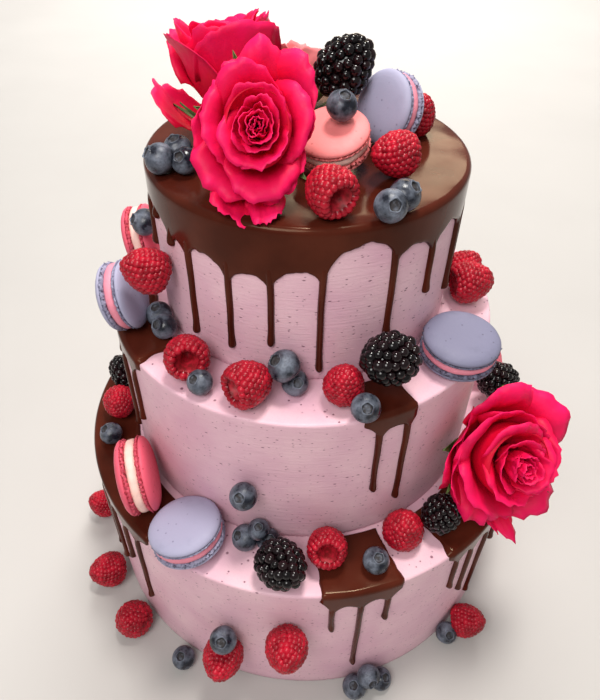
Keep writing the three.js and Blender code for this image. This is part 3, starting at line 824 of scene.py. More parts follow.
def blueberry_finish():
    """Dark skin under a waxy bloom that is rubbed off in patches."""
    tint = colours()
    made = Finish("blueberry_skin", tint.bloom, 0.5, shine=0.4)
    bloom = made.mottle(tint.bloom, tint.blueberry, 130, 0.36, 0.6)
    rubbed = made.spread(made.noise(900), 0.45, 0.75, 0, 0.5)
    fine = made.mix(rubbed, bloom.outputs["Color"], tint.blueberry)
    made.feed(made.mix(made.tone(), fine, tint.bloom), "Base Color")
    made.feed(made.spread(bloom.outputs["Mask"], 0, 1, 0.5, 0.22), "Roughness")
    made.bump(made.noise(1200, 3.0), 0.05 * MM, 0.4)
    return made.material


def crown_finish():
    tint = colours()
    return mottled_finish(
        "blueberry_crown", tint.crown, tint.bloom, 0.75, (420, 0.45, 0.85), (900, 4.0, 0.2, 0.6))


def shell_finish(name, shell):
    """Macaron shell: almond flecks and fine pores on a matt skin, and painted shade on its ragged foot."""
    dark_and_foot_shade = [SHELL_SHADE * part ** SHELL_SHADE_POWER for part in shell]
    made = Finish(name, shell, 0.55, shine=0.35)
    skin = made.mottle(shell, dark_and_foot_shade, 110, 0.55, 2.0)
    flecks = made.pits(420, 0.3, 0.14).outputs["Mask"]
    flecked = made.mix(made.spread(flecks, 0.1, 0.6, 0, 0.5), skin.outputs["Color"], dark_and_foot_shade)
    # Where the tone is high the shell takes the dark colour: painted shade on the ragged foot
    made.feed(made.mix(made.tone(), flecked, dark_and_foot_shade), "Base Color")
    made.vary_roughness(600, 0.48, 0.64)
    made.bump(made.add(made.noise(900, 5.0), flecks, -0.6), 0.12 * MM, 0.5)
    return made.material


def filling_finish(name, base):
    return mottled_finish(name, base, dimmed(base, 0.8), 0.5, (240, 0.4, 0.9), (500, 4.0, 0.3, 0.6))


def petal_finish(name, base, lip):
    """Rose petal: painted shade at the foot and a lighter, pinker painted highlight at the lip, with fine
    veins.
    """
    made = Finish(name, base, 0.5, shine=0.2)
    # Painted shade: the petal is dimmed towards its foot, then lifted to the painted highlight at its lip
    foot = made.mix(made.spread(made.tone(), 0.0, 0.5), dimmed(base, 0.7), base)
    face = made.mix(made.spread(made.tone(), 0.45, 1.0), foot, lip)
    patches = made.mottle((1, 1, 1), (0, 0, 0), 90).outputs["Mask"]
    made.feed(made.mix(made.spread(patches, 0, 1, 0, 0.35), face, base), "Base Color")
    made.vary_roughness(300, 0.42, 0.6)
    made.bump(made.add(made.noise(420, 5.0), made.noise(150, 3.0), 1.6), 0.3 * MM, 0.6)
    return made.material


def sepal_finish():
    green = colours().sepal
    return mottled_finish("sepal", green, dimmed(green, 0.5), 0.55, (260,), (800, 4.0, 0.1, 0.5))


def floor_finish():
    plain = colours().floor
    return mottled_finish("floor", plain, dimmed(plain, 0.97), 0.8, (6,))


def uneven(point, amount):
    """The point moved out or in from the upright axis by smooth noise."""
    place = Vector(value * scale for value, scale in zip(point, RIPPLE_SCALE))
    push = amount * noise.noise(place)
    return point + Vector((point.x, point.y, 0)).normalized() * push


def tier_profile(radius, base, top, round_off):
    """Radius and height of a tier, from the middle of its base to the middle of its top."""
    foot = TIER_FOOT * MM
    profile = [(0.0, base), (radius * TIER_BASE_ROW, base), (radius - foot, base), (radius, base + foot)]
    rows = max(int((top - base) / (TIER_ROW_STEP * MM)), 2)
    wall_end = top - round_off
    for row in range(1, rows):
        profile.append((radius, lerp(base + foot, wall_end, row / rows)))
    for angle in quarter(TIER_RIM_STEPS):
        out = radius - round_off * (1 - math.cos(angle))
        profile.append((out, wall_end + round_off * math.sin(angle)))
    profile += [(radius * part, top) for part in TIER_TOP_ROWS]
    return profile


class CAKE_OT_tiers(bpy.types.Operator):
    """Builds the iced tiers with scraped walls and rounded rims."""

    bl_idname = "cake.tiers"
    bl_label = "Iced tiers"

    def execute(self, context):
        icing = icing_finish()
        ripple = sizes().icing_ripple
        for name, tier in TIERS.items():
            radius, base, top, across, back = (value * MM for value in tier)
            skin = Skin()
            profile = tier_profile(radius, base, top, sizes().rim_round)
            skin.add_rows(lathe(profile, TIER_SEGMENTS, lambda point, *_: uneven(point, ripple)))
            piece = make_object("tier_%s_icing" % name, skin, [icing])
            piece.location = (across, back, 0)
            dress_node(piece, "tier_" + name, "buttercream")
        return {"FINISHED"}


def all_top_drips():
    """The top tier's drips and seeded ones round the back, in order from -180 to 180 degrees."""
    state = BACK_DRIP_SEED
    draws = []
    for _ in range(2 * BACK_DRIPS["count"]):
        state = (state * DRAW_FACTOR) % DRAW_LIMIT
        draws.append(state / DRAW_LIMIT)
    drips = list(TOP_DRIPS)
    for index in range(BACK_DRIPS["count"]):
        shift = index + BACK_DRIPS["jitter"] * (draws[2 * index] - 0.5)
        bearing = BACK_DRIPS["start"] + shift * BACK_DRIPS["step"]
        drop = lerp(BACK_DRIPS["shortest"], BACK_DRIPS["longest"], draws[2 * index + 1])
        drips.append((bearing if bearing < 180 else bearing - 360, drop, BACK_DRIPS["curtain"]))
    return sorted(drips)


class Pour:
    """One pour of ganache over a tier's rim, in millimetres."""

    # The curtain's lower edge: arches between the drips, flared where a drip leaves it
    LEAST = 5.0
    ARCH_SLOPE = 0.5
    NARROW, WIDE = 10, 24
    FLARE = 7.0
    FLARE_REACH = 2.6
    WOBBLE = 1.4
    WOBBLES = 0.22
    WOBBLE_NOISE = (1.0, 2.1, 2)

    # The section: steps and rounds, and how far it is sunk into the icing
    COLUMN = 1.1
    LEAST_COLUMNS = 8
    EDGE = 2.2
    PINHOLE = 0.02
    INNER_ROUND, INNER_STEPS = 1.8, 4
    TOP_STEPS = 10
    SWELL = 0.3
    SWELLS = 0.05
    BEND, BEND_DROP, BEND_STEPS = 1.5, 3.0, 6
    WALL_STEPS = 9
    LIP, LIP_STEPS, LIP_SINK = 1.7, 5, 0.2
    BACK = ((-0.6, -2.0), (-2.5, -0.4))
    BACK_LIFT = 0.3
    FRAY = 1.2
    FRAYS = (0.12, 0.1)

    # Drips: a root that spreads into the curtain, a neck, and a drop at the end
    DRIP_START = 0.45
    DRIP_STEP, DRIP_STEPS, DRIP_POINTS = 1.6, 14, 14
    DRIP_CROWD = 1.6
    DROP_AT, DROP_REACH = 3.2, 3.4
    NECK_WIDE, DROP_WIDE = 0.92, 0.16
    NECK_DEEP, DROP_DEEP = 0.9, 0.28
    TIP, TIP_LEAST = 2.6, 0.01
    ROOT, ROOT_REACH = 2.2, 5.0
    RISE_FROM, RISE = -0.2, 14
    SWAY = 0.5
    SWAYS = (0.05, 3.1)
    DRIP_SINK = 0.25
    DRIP_BACK = 0.5

    def __init__(self, tier, inner, drips, start, end):
        self.radius, _, self.top, self.across, self.back = TIERS[tier]
        self.inner = inner
        self.drips = drips
        self.start, self.end = start, end
        self.is_ring = end - start >= 360
        self.glaze = sizes().glaze / MM
        self.curtain = sizes().curtain / MM

    def arc(self, degrees):
        return math.radians(degrees) * self.radius

    def neighbours(self, bearing):
        """The drips before and after a bearing, with the bearings unrolled."""
        drips = self.drips
        if self.is_ring:
            first, last = drips[0], drips[-1]
            drips = [(last[0] - 360, *last[1:]), *drips, (first[0] + 360, *first[1:])]
        before = [drip for drip in drips if drip[0] <= bearing]
        after = [drip for drip in drips if drip[0] > bearing]
        return (before[-1] if before else None), (after[0] if after else None)

    def flare(self, degrees):
        return self.FLARE * math.exp(-self.arc(degrees) / self.FLARE_REACH)

    def edge_drop(self, bearing):
        """How far below the rim the curtain ends: arches between drips, flared into each drip."""
        before, after = self.neighbours(bearing)
        if before is None or after is None:
            nearest = before or after
            limit = self.start if before is None else self.end
            part = abs(bearing - limit) / max(abs(nearest[0] - limit), 0.01)
            level = lerp(self.LEAST, nearest[2], smooth_step(0, 1, part))
            return level + self.flare(abs(bearing - nearest[0]))
        span = after[0] - before[0]
        part = (bearing - before[0]) / span
        slope = self.ARCH_SLOPE * smooth_step(self.NARROW, self.WIDE, span)
        lift = min(slope * span, min(before[2], after[2]) - self.LEAST)
        arch = max(lift, 0) * math.sqrt(max(1 - (2 * part - 1) ** 2, 0))
        place = Vector((bearing * self.WOBBLES, self.radius, 0))
        wobble = self.WOBBLE * noise.fractal(place, *self.WOBBLE_NOISE)
        away = min(bearing - before[0], after[0] - bearing)
        return lerp(before[2], after[2], part) - arch + wobble + self.flare(away)

    def end_fade(self, bearing):
        """Thickness left near the two ends of a patch, rounded off."""
        if self.is_ring:
            return 1.0
        part = clamp(self.arc(min(bearing - self.start, self.end - bearing)) / self.EDGE)
        return math.sqrt(1 - (1 - part) ** 2)

    def over_top(self, bearing, fade):
        """From the inner edge, or from the middle of a whole ring, out to the rim."""
        glaze = self.glaze * fade
        start = self.PINHOLE
        line = []
        if self.inner:
            start = self.inner + self.INNER_ROUND
            for angle in quarter(self.INNER_STEPS):
                out = self.inner + self.INNER_ROUND * (1 - math.cos(angle))
                line.append((out, self.top + glaze * math.sin(angle)))
        for step in range(1 if self.inner else 0, self.TOP_STEPS + 1):
            out = lerp(start, self.radius - self.BEND, step / self.TOP_STEPS)
            swell = self.SWELL * noise.noise(on_bearing(bearing, out * self.SWELLS, self.top))
            line.append((out, self.top + glaze + swell * fade))
        return line

    def over_rim(self, fade, low):
        """Round the rim, down the wall and round the lower edge."""
        curtain = self.curtain * fade
        level = self.top + self.glaze * fade
        line = []
        for angle in quarter(self.BEND_STEPS, 1):
            out = self.radius - self.BEND + (self.BEND + curtain) * math.sin(angle)
            line.append((out, level - self.BEND_DROP * (1 - math.cos(angle))))
        for step in range(1, self.WALL_STEPS + 1):
            height = lerp(level - self.BEND_DROP, low + self.LIP, step / self.WALL_STEPS)
            line.append((self.radius + curtain, height))
        for angle in quarter(self.LIP_STEPS, 1):
            out = self.radius - self.LIP_SINK + (curtain + self.LIP_SINK) * math.cos(angle)
            line.append((out, low + self.LIP - self.LIP * math.sin(angle)))
        return line

    def section(self, bearing):
        """The skin's outline at one bearing, out over the top, down the wall and back inside."""
        fade = self.end_fade(bearing)
        low = self.top - self.edge_drop(bearing)
        back = [(self.radius + out, self.top + up) for out, up in self.BACK]
        line = [*self.over_top(bearing, fade), *self.over_rim(fade, low)]
        line.append((back[0][0], low + self.BACK_LIFT))
        line += back
        line.append((max(self.inner, self.PINHOLE), back[-1][1]))
        return line

    def fray(self, bearing, out, height):
        """How many degrees the ends of a patch stray."""
        if self.is_ring:
            return 0
        place = Vector((out * self.FRAYS[0], height * self.FRAYS[1], self.end))
        return (1 - self.end_fade(bearing)) * self.FRAY * noise.noise(place)

    def skin(self):
        """The pour as one skin with its drips."""
        count = max(int(self.arc(self.end - self.start) / self.COLUMN), self.LEAST_COLUMNS)
        columns = []
        for step in range(count if self.is_ring else count + 1):
            bearing = lerp(self.start, self.end, step / count)
            columns.append([
                on_bearing(bearing + self.fray(bearing, out, height), out * MM, height * MM)
                for out, height in self.section(bearing)])
        rows = [list(row) for row in zip(*columns)]
        rows.append(rows[0])
        skin = Skin()
        skin.add_rows(rows[::-1], is_ring=self.is_ring)
        for index, (bearing, drop, curtain) in enumerate(self.drips):
            self.add_drip(skin, bearing, drop, curtain, index)
        return skin

    def add_drip(self, skin, bearing, drop, curtain, index):
        """A drip from inside the curtain to its end."""
        begin = self.top - self.DRIP_START * curtain
        end = self.top - drop
        steps = max(int((begin - end) / self.DRIP_STEP), self.DRIP_STEPS)
        rows = []
        for step in range(steps + 1):
            height = lerp(begin, end, 1 - (1 - step / steps) ** self.DRIP_CROWD)
            rows.append(self.drip_row(bearing, height, begin, end, index))
        first, last = (on_bearing(bearing, (self.radius - self.DRIP_BACK) * MM, height * MM)
                       for height in (begin, end))
        skin.add_rows([[first], *rows, [last]][::-1])

    def drip_row(self, bearing, height, begin, end, index):
        """The half-round section of a drip at one height."""
        left, run = height - end, begin - height
        bulb = math.exp(-((left - self.DROP_AT) / self.DROP_REACH) ** 2)
        tip = min(left / self.TIP, 1)
        close = math.sqrt(max(1 - (1 - tip) ** 2, 0)) + self.TIP_LEAST
        half = sizes().drip_width / MM / 2 * (self.NECK_WIDE + self.DROP_WIDE * bulb)
        wide = (half + self.ROOT * math.exp(-run / self.ROOT_REACH)) * close
        rise = sizes().drip_depth / MM * smooth_step(self.RISE_FROM, 1, run / self.RISE)
        deep = rise * (self.NECK_DEEP + self.DROP_DEEP * bulb) * close
        sway = self.SWAY * noise.noise(Vector((height * self.SWAYS[0], index * self.SWAYS[1], self.radius)))
        row = []
        for point in range(self.DRIP_POINTS + 1):
            angle = math.pi * point / self.DRIP_POINTS
            side = -wide * math.cos(angle) + sway
            out = self.radius - self.DRIP_SINK + (deep + self.DRIP_SINK) * math.sin(angle)
            row.append(on_bearing(bearing + math.degrees(side / self.radius), out * MM, height * MM))
        return row


class CAKE_OT_ganache(bpy.types.Operator):
    """Pours the ganache over the top and the ledges, with its drips."""

    bl_idname = "cake.ganache"
    bl_label = "Ganache"

    def execute(self, context):
        chocolate = ganache_finish()
        pours = [("ganache_top", Pour("top", 0, all_top_drips(), -180, 180))]
        for node, tier, start, end, inner, drips in PATCHES:
            pours.append((node, Pour(tier, inner, drips, start, end)))
        for node, pour in pours:
            piece = make_object(node + "_pour", pour.skin(), [chocolate])
            piece.location = (pour.across * MM, pour.back * MM, 0)
            dress_node(piece, node, "ganache")
        return {"FINISHED"}


def drupelet_rows(dome, place, normal, bulk):
    """A dome on the berry's skin, and below it a foot that narrows into the berry."""
    turn = Vector((0, 0, 1)).rotation_difference(normal).to_matrix()
    foot = [Vector((point.x, point.y, DRUPELET_FOOT)) * bulk * DRUPELET_NARROW for point in dome[0]]
    rows = [foot] + [[point * bulk for point in row] for row in dome]
    return [[place + turn @ point for point in row] for row in rows]


def add_drupelets(skin, rings, size, look, draw):
    """Rings of small domes over a berry, half a step apart from ring to ring."""
    radius, stand, jitter = look
    dome = lathe(DRUPELET_OUTLINE, DRUPELET_SEGMENTS)
    for index, (ring_radius, ring_height, count) in enumerate(rings):
        before = rings[max(index - 1, 0)]
        after = rings[min(index + 1, len(rings) - 1)]
        slope = Vector((after[1] - before[1], 0, before[0] - after[0])).normalized()
        for step in range(count):
            angle = 360 * (step + 0.5 * (index % 2) + jitter * draw.uniform(-0.5, 0.5)) / count
            bulk = radius * size * around(draw, 1, jitter)
            normal = on_bearing(angle, slope.x, slope.z).normalized()
            place = on_bearing(angle, ring_radius * size, ring_height * size) + normal * (stand * bulk)
            rows = drupelet_rows(dome, place, normal, bulk)
            tone = DRUPELET_TONE + DRUPELET_TONE_SPAN * draw.random()
            # The foot row takes tone 0, which paints shade between the drupelets of a raspberry
            tones = [[tone if row else 0.0] * len(points) for row, points in enumerate(rows)]
            skin.add_rows(rows, 0, tones)


def raspberry_skin(size, seed):
    """A raspberry in metres: a hollow core covered by drupelets. Finishes: skin, hollow."""
    skin = Skin()
    core = lathe(scaled(RASPBERRY_CORE, size), CORE_SEGMENTS)
    skin.add_rows(core[HOLLOW_ROWS - 1:], 0)
    skin.add_rows(core[:HOLLOW_ROWS], 1)
    add_drupelets(skin, RASPBERRY_RINGS, size, RASPBERRY_DRUPELETS, random.Random(seed))
    return skin


def bramble_skin(size, seed):
    """A bramble in metres: a solid core covered by drupelets."""
    skin = Skin()
    skin.add_rows(lathe(scaled(BRAMBLE_CORE, size), CORE_SEGMENTS))
    add_drupelets(skin, BRAMBLE_RINGS, size, BRAMBLE_DRUPELETS, random.Random(seed))
    return skin


def blueberry_skin(size, seed):
    """A blueberry in metres, with a lobed crown round a sunken eye. Finishes: skin, eye."""
    draw = random.Random(seed)
    spin = draw.uniform(0, 2 * math.pi)
    squash = draw.uniform(*BLUEBERRY_SQUASH)
    body = [(0.0, -0.5 * squash)]
    for step in range(1, BLUEBERRY_ROWS):
        angle = math.pi * (step / BLUEBERRY_ROWS * BLUEBERRY_REACH)
        body.append((0.5 * math.sin(angle), -0.5 * squash * math.cos(angle)))
    shoulder = len(body)
    inside = shoulder + len(BLUEBERRY_CROWN) - 1
    lip = range(shoulder, shoulder + CROWN_LIP_ROWS)

    def shape(point, angle, index):
        if shoulder <= index < inside:
            wave = math.cos(CROWN_LOBES * (angle + spin))
            flare = 1 + (CROWN_FLARE if index < inside - 1 else CROWN_FLARE / 2) * wave
            lift = CROWN_LIFT * size * max(wave, CROWN_DIP) if index in lip else 0
            return Vector((point.x * flare, point.y * flare, point.z + lift))
        place = point / size * BLUEBERRY_BULGES + Vector((seed, 0, 0))
        return point * (1 + BLUEBERRY_BULGE * noise.noise(place))

    outline = scaled((*body, *BLUEBERRY_CROWN, *BLUEBERRY_EYE), size)
    rows = lathe(outline, BLUEBERRY_SEGMENTS, shape)
    tones = [[CROWN_TONE if index in lip else 0.0] * len(row) for index, row in enumerate(rows)]
    skin = Skin()
    skin.add_rows(rows[:inside + 1], 0, tones[:inside + 1])
    skin.add_rows(rows[inside - 1:], 1)
    return skin


# Each berry's skin and its finishes, in the order that the skin numbers them
BERRIES = {
    "raspberry": (raspberry_skin, {
        "raspberry_skin": raspberry_finish, "raspberry_core": raspberry_core_finish}),
    "bramble": (bramble_skin, {"bramble_skin": bramble_finish}),
    "blueberry": (blueberry_skin, {
        "blueberry_skin": blueberry_finish, "blueberry_crown": crown_finish}),
}


def make_berry(kind, size, seed):
    """A berry's skin from its size in millimetres, and its finishes."""
    shape, finishes = BERRIES[kind]
    materials = [bpy.data.materials.get(name) or make() for name, make in finishes.items()]
    return shape(size * MM, seed), materials


def build_berries(kind, rows):
    for index, (node, size, facing) in enumerate(rows):
        piece = make_object(node + "_fruit", *make_berry(kind, size, SINGLE_SEED + index))
        put_on_node(piece, node, facing_turn(facing))
        dress_node(piece, node, kind)


def joined_skin(berries, first_seed):
    """One skin for berries that press against each other, about its middle, and its finishes."""
    skin = Skin()
    materials = []
    for index, (kind, bearing, out, lift, size, facing) in enumerate(berries):
        berry, finishes = make_berry(kind, size, first_seed + index)
        materials += [finish for finish in finishes if finish not in materials]
        numbers = [materials.index(finish) for finish in finishes]
        berry.finishes = [numbers[number] for number in berry.finishes]
        place = on_bearing(bearing, out * MM, lift * MM)
        skin.add_skin(berry, Matrix.Translation(place) @ facing_turn(facing).to_4x4())
    middle = box_centre(skin.points)
    skin.points = [point - middle for point in skin.points]
    return skin, materials


class CAKE_OT_berries(bpy.types.Operator):
    """Builds the single raspberries, brambles and blueberries."""

    bl_idname = "cake.berries"
    bl_label = "Berries"

    def execute(self, context):
        for kind, rows in (("raspberry", RASPBERRIES), ("bramble", BRAMBLES), ("blueberry", BLUEBERRIES)):
            build_berries(kind, rows)
        return {"FINISHED"}


class CAKE_OT_joined_berries(bpy.types.Operator):
    """Builds the berries that press against each other."""

    bl_idname = "cake.joined_berries"
    bl_label = "Joined berries"

    def execute(self, context):
        for group, (node, berries) in enumerate(JOINED):
            skin, materials = joined_skin(berries, JOINED_SEED + JOINED_SEED_STEP * group)
            piece = make_object(node + "_fruit", skin, materials)
            put_on_node(piece, node, Matrix.Identity(3))
            slot = berries[0][0]
            dress_node(piece, node, slot)
        return {"FINISHED"}


def macaron_skin(size, seed):
    """A macaron in metres. Finishes: shell with its ragged foot, filling."""
    origin = Vector((seed * MACARON_SEED_STEP, 0, 0))

    def ruffle(point, angle, index):
        """Smooth shell, then a ragged foot that is pushed in and out and up and down by noise."""
        if index < FOOT_ROW:
            return point * (1 + SHELL_DENT * noise.noise(point / size * SHELL_DENTS + origin))
        place = Vector((math.cos(angle) * RUFFLES, math.sin(angle) * RUFFLES, index * RUFFLE_STEP))
        rough = noise.fractal(place + origin, *RUFFLE_NOISE)
        push = 1 + RUFFLE_PUSH * rough
        return Vector((point.x * push, point.y * push, point.z + RUFFLE_LIFT * size * rough))

    def bulge(point, angle, index):
        """Filling that stands out unevenly."""
        across, along = math.cos(angle) * FILLING_BULGES, math.sin(angle) * FILLING_BULGES
        push = 1 + FILLING_BULGE * noise.noise(Vector((across, along, index * FILLING_STEP)) + origin)
        return Vector((point.x * push, point.y * push, point.z))

    def foot_shade_tone(point, base):
        return clamp(base + FOOT_SHADE_SPECKLE * noise.noise(point / size * FOOT_SHADE_SPECKS + origin))

    rows = lathe(scaled(MACARON_SHELL, size), MACARON_SEGMENTS, ruffle)
    tones = [[0.0] * len(row) for row in rows]
    # The foot's rows are toned for painted shade: darker under the shell's edge, speckled in the crevices
    for index in range(FOOT_ROW - 1, len(rows)):
        base = FOOT_EDGE_SHADE if index <= FOOT_ROW else FOOT_SHADE
        tones[index] = [foot_shade_tone(point, base) for point in rows[index]]
    shell = Skin()
    shell.add_rows(rows[::-1], 0, tones[::-1])
    skin = Skin()
    skin.add_skin(shell, Matrix.Identity(4))
    skin.add_skin(shell, Matrix.Rotation(math.pi, 4, "X") @ Matrix.Rotation(UNDER_SHELL_TURN, 4, "Z"))
    skin.add_rows(lathe(scaled(MACARON_FILLING, size), MACARON_SEGMENTS // 2, bulge), 1)
    return skin


class CAKE_OT_macarons(bpy.types.Operator):
    """Builds the macarons: two shells with ragged feet and the filling between them."""

    bl_idname = "cake.macarons"
    bl_label = "Macarons"

    def execute(self, context):
        tint = colours()
        fillings = {}
        for flavour in ("pink", "lilac"):
            base = getattr(tint, flavour + "_filling")
            fillings[flavour] = filling_finish("macaron_%s_filling" % flavour, base)
        shells = {}
        for look in sorted({row[1] for row in MACARONS}):
            shells[look] = shell_finish("macaron_%s_shell" % look, getattr(tint, look + "_shell"))
        for index, (node, look, size, facing) in enumerate(MACARONS):
            flavour = look.split("_")[0]
            finishes = [shells[look], fillings[flavour]]
            piece = make_object(node + "_shells", macaron_skin(size * MM, index + 1), finishes)
            put_on_node(piece, node, facing_turn(facing))
            dress_node(piece, node, "macaron_" + flavour)
        return {"FINISHED"}


class Petal:
    """One rose petal, in parts of the rose's radius: a strip from its foot to its lip that curls out."""

    # The outline: its rounded corners, the width of its foot, and the tip
    CORNER = 0.36
    FOOT_WIDTH = 0.5
    FULL_WIDTH_AT = 0.6
    TIP_SLOPE = 1.5
    TIP_LIFT = 0.5

    # The lip: where it starts to roll, how it curls and how it waves
    ROLL_FROM = 0.72
    CURL_SWING, CURL_WAVE = 0.8, 2.1
    CURL_DROP = 0.9
    RIPPLE, RIPPLE_GROWTH = 0.01, 0.07
    OUT_RIPPLE, OUT_WAVE = 0.6, 2.4
    BROAD_WAVE = 3.2
    FINE_RIPPLE, FINE_WAVE = 0.4, 7.3

    # The torn edge: notches and serration, which grow with the petal's reach
    NOTCHES, TEETH = 4.5, 15
    TOOTH = 0.6
    TORN_MOST = 0.8
    TORN_OUT, TORN_OUT_GROWTH = 0.015, 0.07
    TORN_UP, TORN_UP_GROWTH = 0.02, 0.13

    # How far the tip leans and one side tucks under the next petal, creases as depth, count across and
    # count along, and the tone, which paints shade near the foot and a highlight towards the lip
    LEAN = 0.3
    TUCK = (0.03, 0.1)
    SEEDS = 50
    CREASES = ((0.05, 2.5, 2), (0.03, 7, 5))
    TONE_POWER = 1.4
    TORN_TONE = 0.2

    def __init__(self, bearing, lip, half, curl, point, foot, belly, draw):
        self.bearing = bearing
        self.lip = Vector(lip)
        self.foot = Vector(foot)
        self.belly = Vector(belly)
        self.half = half
        self.curl = curl
        self.point = point
        self.ripple = self.RIPPLE + self.RIPPLE_GROWTH * lip[0]
        self.phase = draw.uniform(0, 2 * math.pi)
        self.lean = around(draw, 0, self.LEAN)
        self.tuck = draw.uniform(*self.TUCK)
        self.seed = draw.uniform(0, self.SEEDS)

    def jag(self, across):
        """The torn edge: broad notches and a fine serration."""
        broad = noise.noise(Vector((across * self.NOTCHES, self.seed, 0)))
        fine = noise.noise(Vector((across * self.TEETH, self.seed, 3)))
        return broad + self.TOOTH * fine

    def crease(self, across, along):
        return sum(
            depth * noise.noise(Vector((across * wide, along * tall, self.seed)))
            for depth, wide, tall in self.CREASES)

    def spot(self, across, along):
        """Distance out, height and tone of the petal at a place across and along it."""
        reach = along * (1 - self.CORNER * abs(across) ** 3)
        spine = self.foot * (1 - reach) ** 2 + self.belly * (2 * reach * (1 - reach))
        spine += self.lip * reach ** 2
        roll = max(along - self.ROLL_FROM, 0) / (1 - self.ROLL_FROM)
        curl = self.curl * (1 + self.CURL_SWING * math.sin(self.CURL_WAVE * across + self.phase))
        tip = self.point * roll * max(1 - self.TIP_SLOPE * abs(across - self.lean), 0)
        jag = self.jag(across) * along ** 6
        torn = min(self.lip.x, self.TORN_MOST) ** 2
        wave = reach ** 3 * self.ripple
        out = spine.x + curl * roll ** 2 + tip
        out += self.OUT_RIPPLE * wave * math.cos(self.OUT_WAVE * across + self.phase)
        out += (self.TORN_OUT + self.TORN_OUT_GROWTH * torn) * jag
        up = spine.y - self.CURL_DROP * curl * roll ** 3 + self.TIP_LIFT * tip
        broad = math.sin(self.BROAD_WAVE * across + self.phase)
        up += wave * (broad + self.FINE_RIPPLE * math.sin(self.FINE_WAVE * across + 2 * self.phase))
        up += (self.TORN_UP + self.TORN_UP_GROWTH * torn) * jag
        # The tone paints shade near the foot and a highlight towards the lip, varied along the torn edge
        tone = clamp(reach ** self.TONE_POWER + self.TORN_TONE * jag)
        return (out + self.crease(across, along)) * (1 + self.tuck * across), up, tone

    def rows(self, radius):
        """Rows of points from the foot to the lip, and their tones."""
        rows, tones = [], []
        for row in range(PETAL_ROWS + 1):
            along = row / PETAL_ROWS
            width = self.half * lerp(self.FOOT_WIDTH, 1, smooth_step(0, self.FULL_WIDTH_AT, along))
            line, shade = [], []
            for column in range(PETAL_COLUMNS + 1):
                across = 2 * column / PETAL_COLUMNS - 1
                out, up, tone = self.spot(across, along)
                line.append(on_bearing(self.bearing + width * across, out * radius, up * radius))
                shade.append(tone)
            rows.append(line)
            tones.append(shade)
        return rows, tones


def inner_petal(bearing, lip, half, curl, point, draw):
    """A petal that hugs the bud: its foot is hidden just inside the next ring."""
    out, up = lip
    foot = (INNER_FOOT_OUT * out, up - INNER_FOOT_DROP)
    belly = (INNER_BELLY_OUT * out + INNER_BELLY_BULGE, up - INNER_BELLY_DROP)
    return Petal(bearing, lip, half, curl, point, foot, belly, draw)


def outer_petal(bearing, lip, half, curl, point, deep, draw):
    """A petal that runs from the calyx up the outside of the rose."""
    out, up = lip
    foot = (OUTER_FOOT_OUT, OUTER_FOOT_DEEP * deep)
    belly = (OUTER_BELLY_OUT * out + OUTER_BELLY_BULGE, up - OUTER_BELLY_DROP - OUTER_BELLY_DEEP * deep)
    return Petal(bearing, lip, half, curl, point, foot, belly, draw)


def sepal_rows(radius, bearing, deep, draw):
    """A pointed leaf from the calyx out and up, in rows of points."""
    rows = []
    droop = draw.uniform(*SEPAL_DROOP)
    for row in range(SEPAL_ROWS + 1):
        along = row / SEPAL_ROWS
        swell = math.sin(math.pi * (SEPAL_NECK + (1 - SEPAL_NECK) * along))
        wide = SEPAL_WIDE * swell * (1 - SEPAL_TAPER * along)
        out = SEPAL_FROM + SEPAL_REACH * along
        up = SEPAL_BASE * deep + SEPAL_RISE * along ** SEPAL_BOW - droop * along ** 2
        line = []
        for column in range(SEPAL_COLUMNS + 1):
            across = 2 * column / SEPAL_COLUMNS - 1
            side = math.degrees(wide * across / out)
            lift = SEPAL_FOLD * across * across
            line.append(on_bearing(bearing + side, out * radius, (up + lift) * radius))
        rows.append(line)
    return rows


def rose_petals(deep, rings, strays, draw):
    """The petals ring by ring from the heart out, then those that hang or stand out."""
    petals = []
    turn = draw.uniform(0, 360)
    for ring, (count, out, up, half, curl, point) in enumerate(rings):
        for index in range(count):
            bearing = turn + 360 * (index + around(draw, 0, PETAL_SHIFT)) / count
            lip = (out * around(draw, 1, PETAL_REACH), up + around(draw, 0, PETAL_LIFT))
            width = half * around(draw, 1, PETAL_WIDTH)
            if ring < len(rings) - OUTER_RINGS:
                petals.append(inner_petal(bearing, lip, width, curl, point, draw))
            else:
                petals.append(outer_petal(bearing, lip, width, curl, point, deep, draw))
        turn += GOLDEN_TURN
    for bearing, out, up, half in strays:
        petals.append(outer_petal(bearing, (out, up), half, STRAY_CURL, STRAY_POINT, deep, draw))
    return petals


def rose_skin(size, deep, stretch, rings, seed, strays):
    """A rose in metres. Finishes: petals, sepals."""
    radius = size / 2
    draw = random.Random(seed)
    skin = Skin()
    for petal in rose_petals(deep, rings, strays, draw):
        rows, tones = petal.rows(radius)
        skin.add_rows(rows, 0, tones, is_ring=False)
    outline = [(out * radius, up * (deep if up < 0 else 1) * radius) for out, up in CUP]
    cup = lathe(outline, CUP_SEGMENTS)
    # The cup takes a low tone: painted shade deep among the petals
    skin.add_rows(cup, 0, [[CUP_SHADE] * len(row) for row in cup])
    for bearing in SEPAL_BEARINGS:
        sepal = sepal_rows(radius, bearing + around(draw, 0, SEPAL_SHIFT), deep, draw)
        skin.add_rows(sepal, 1, is_ring=False)
    calyx = [(out * radius, up * deep * radius) for out, up in CALYX]
    skin.add_rows(lathe(calyx, CALYX_SEGMENTS), 1)
    across, along = stretch
    skin.points = [Vector((point.x * across, point.y * along, point.z)) for point in skin.points]
    return skin


